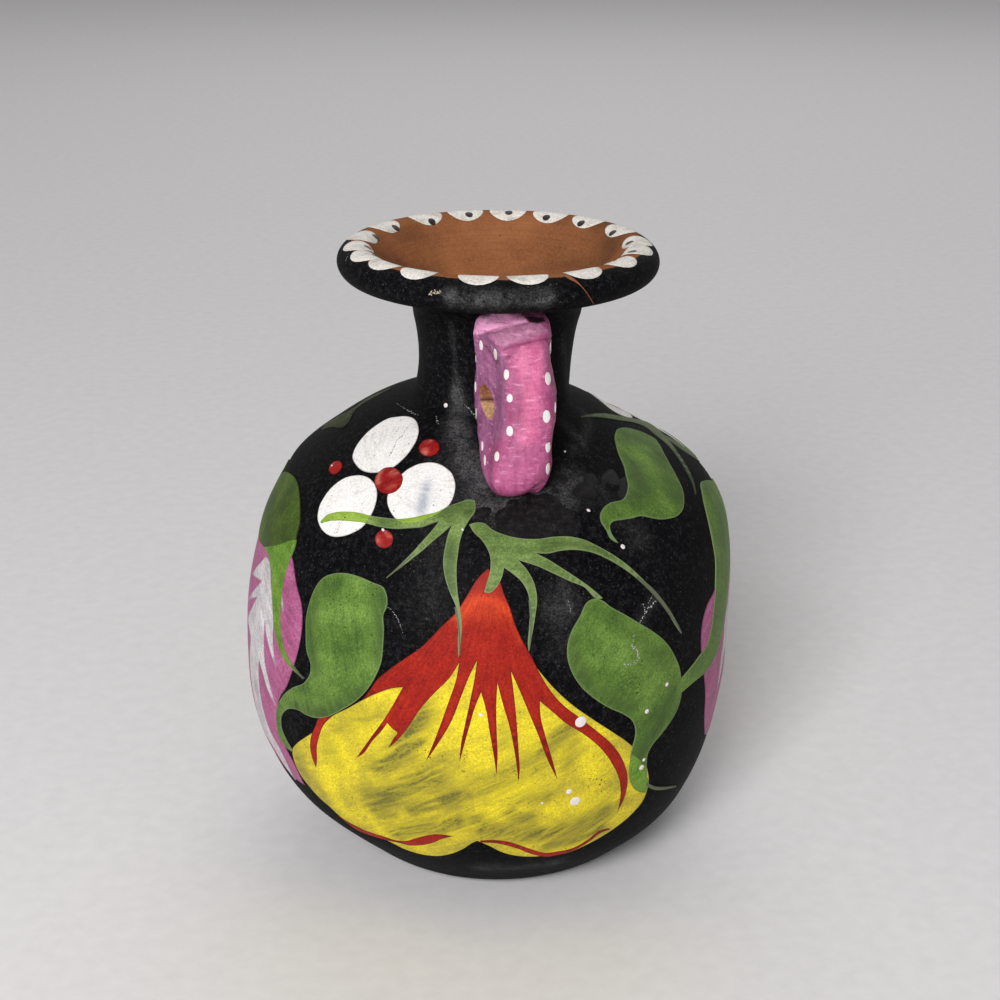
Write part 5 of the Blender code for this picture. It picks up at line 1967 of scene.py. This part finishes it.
def grains_along(lines, least=0.25, most=0.6):
    """Small grains scattered along lines of (x, y, width) pixels."""
    grains = []
    for line in lines:
        for x, y, width in flowing(line, GRAIN_STEP):
            if random.random() < GRAIN_SHARE:
                spot = x + random.gauss(0, width / 3), y + random.gauss(0, width / 3)
                grains.append((*spot, width * random.uniform(least, most)))
    return grains


def paint_small_dots():
    """White dots, then dark specks, chalky grains and the chip, each scattered in its turn."""
    random.seed(7)
    paint_dots("white_dots", white_dot_finish, "white_paint", dabs(WHITE_DOTS, DOT_RELIEF))
    dark = [(x, y, size / 2) for x, y, size in DARK_SPECKS] + grains_along(HAIRLINES)
    dark += grains_along(SPECKLED, 0.03, 0.1)
    for name, finish, slot_name, grains in (
        ("dark_specks", speck_finish, "black_ground", dark),
        ("chalk_grains", grain_finish, "white_paint", grains_along(SCRATCHES)),
        ("lip_chip", chip_finish, "bare_clay", grains_along([LIP_CHIP] * 3, 0.1, 0.3)),
    ):
        paint_dots(name, finish, slot_name, dabs(grains, GRAIN_RELIEF), GRAIN_FINENESS)


# Floor, light and camera


def make_floor():
    """A pale floor in place of the photograph's table."""
    work = bmesh.new()
    bmesh.ops.create_grid(work, x_segments=1, y_segments=1, size=3.0)
    mesh = bpy.data.meshes.new("floor")
    work.to_mesh(mesh)
    work.free()
    material, tree, shader, place = new_finish("pale_floor")
    mottle = between(tree, cloud(tree, place, 300, 3), 0.0, 1.0)
    pale = tint(tree, mottle, srgb(234, 232, 232), srgb(240, 238, 238))
    tree.links.new(pale, shader.inputs["Base Color"])
    shader.inputs["Roughness"].default_value = 0.8
    mesh.materials.append(material)
    stand_alone("floor", mesh)


def make_lamp(name, azimuth, elevation, distance, size, level):
    """A soft square lamp that looks at the jug. Its level is what a white face square to it would show."""
    lamp = bpy.data.lights.new(name, "AREA")
    lamp.size = size
    lamp.energy = level * math.pi**2 * distance**2
    middle = Matrix.Translation((0, 0, jug_height / 2))
    round_jug = Matrix.Rotation(math.radians(azimuth), 4, "Z")
    tipped = Matrix.Rotation(math.radians(90 - elevation), 4, "X")
    away = Matrix.Translation((0, 0, distance))
    stand_alone(name, lamp).matrix_world = middle @ round_jug @ tipped @ away


def make_world():
    """Soft grey light all round, behind a pale backdrop that the camera and the gloss see."""
    world = bpy.data.worlds.new("soft_studio")
    bpy.context.scene.world = world
    world.use_nodes = True
    tree = world.node_tree
    rays = node(tree, "ShaderNodeLightPath").outputs
    shows = calc(tree, "MAXIMUM", rays["Is Camera Ray"], rays["Is Glossy Ray"])
    shows = calc(tree, "MAXIMUM", shows, rays["Is Transmission Ray"])
    backdrop = tint(tree, shows, (0.26, 0.26, 0.26, 1), srgb(192, 190, 190))
    tree.links.new(backdrop, tree.nodes["Background"].inputs["Color"])


def make_camera():
    """The photograph's camera."""
    lens = bpy.data.cameras.new("camera")
    lens.sensor_width = SENSOR_WIDTH
    lens.lens = FOCAL_LENGTH_PIXELS / PHOTO_SIZE * SENSOR_WIDTH
    camera = stand_alone("camera", lens)
    camera.location = camera_place
    camera.rotation_euler = (math.pi / 2 - CAMERA_PITCH, 0, CAMERA_AZIMUTH)
    bpy.context.scene.camera = camera
    bpy.context.scene.view_settings.view_transform = "Standard"


make_wall()
make_ears()
white_petals = with_far_twins([sides_of(points) for points in PETALS])
paint_white_flowers(white_petals)
paint_yellow_flowers()
paint_side_blooms()
paint_greens(white_petals)
paint_thin_strokes()
paint_rim()
paint_small_dots()
bpy.data.objects.remove(section_line)
make_floor()
make_lamp("key", *KEY_LAMP)
make_lamp("fill", *FILL_LAMP)
make_world()
make_camera()
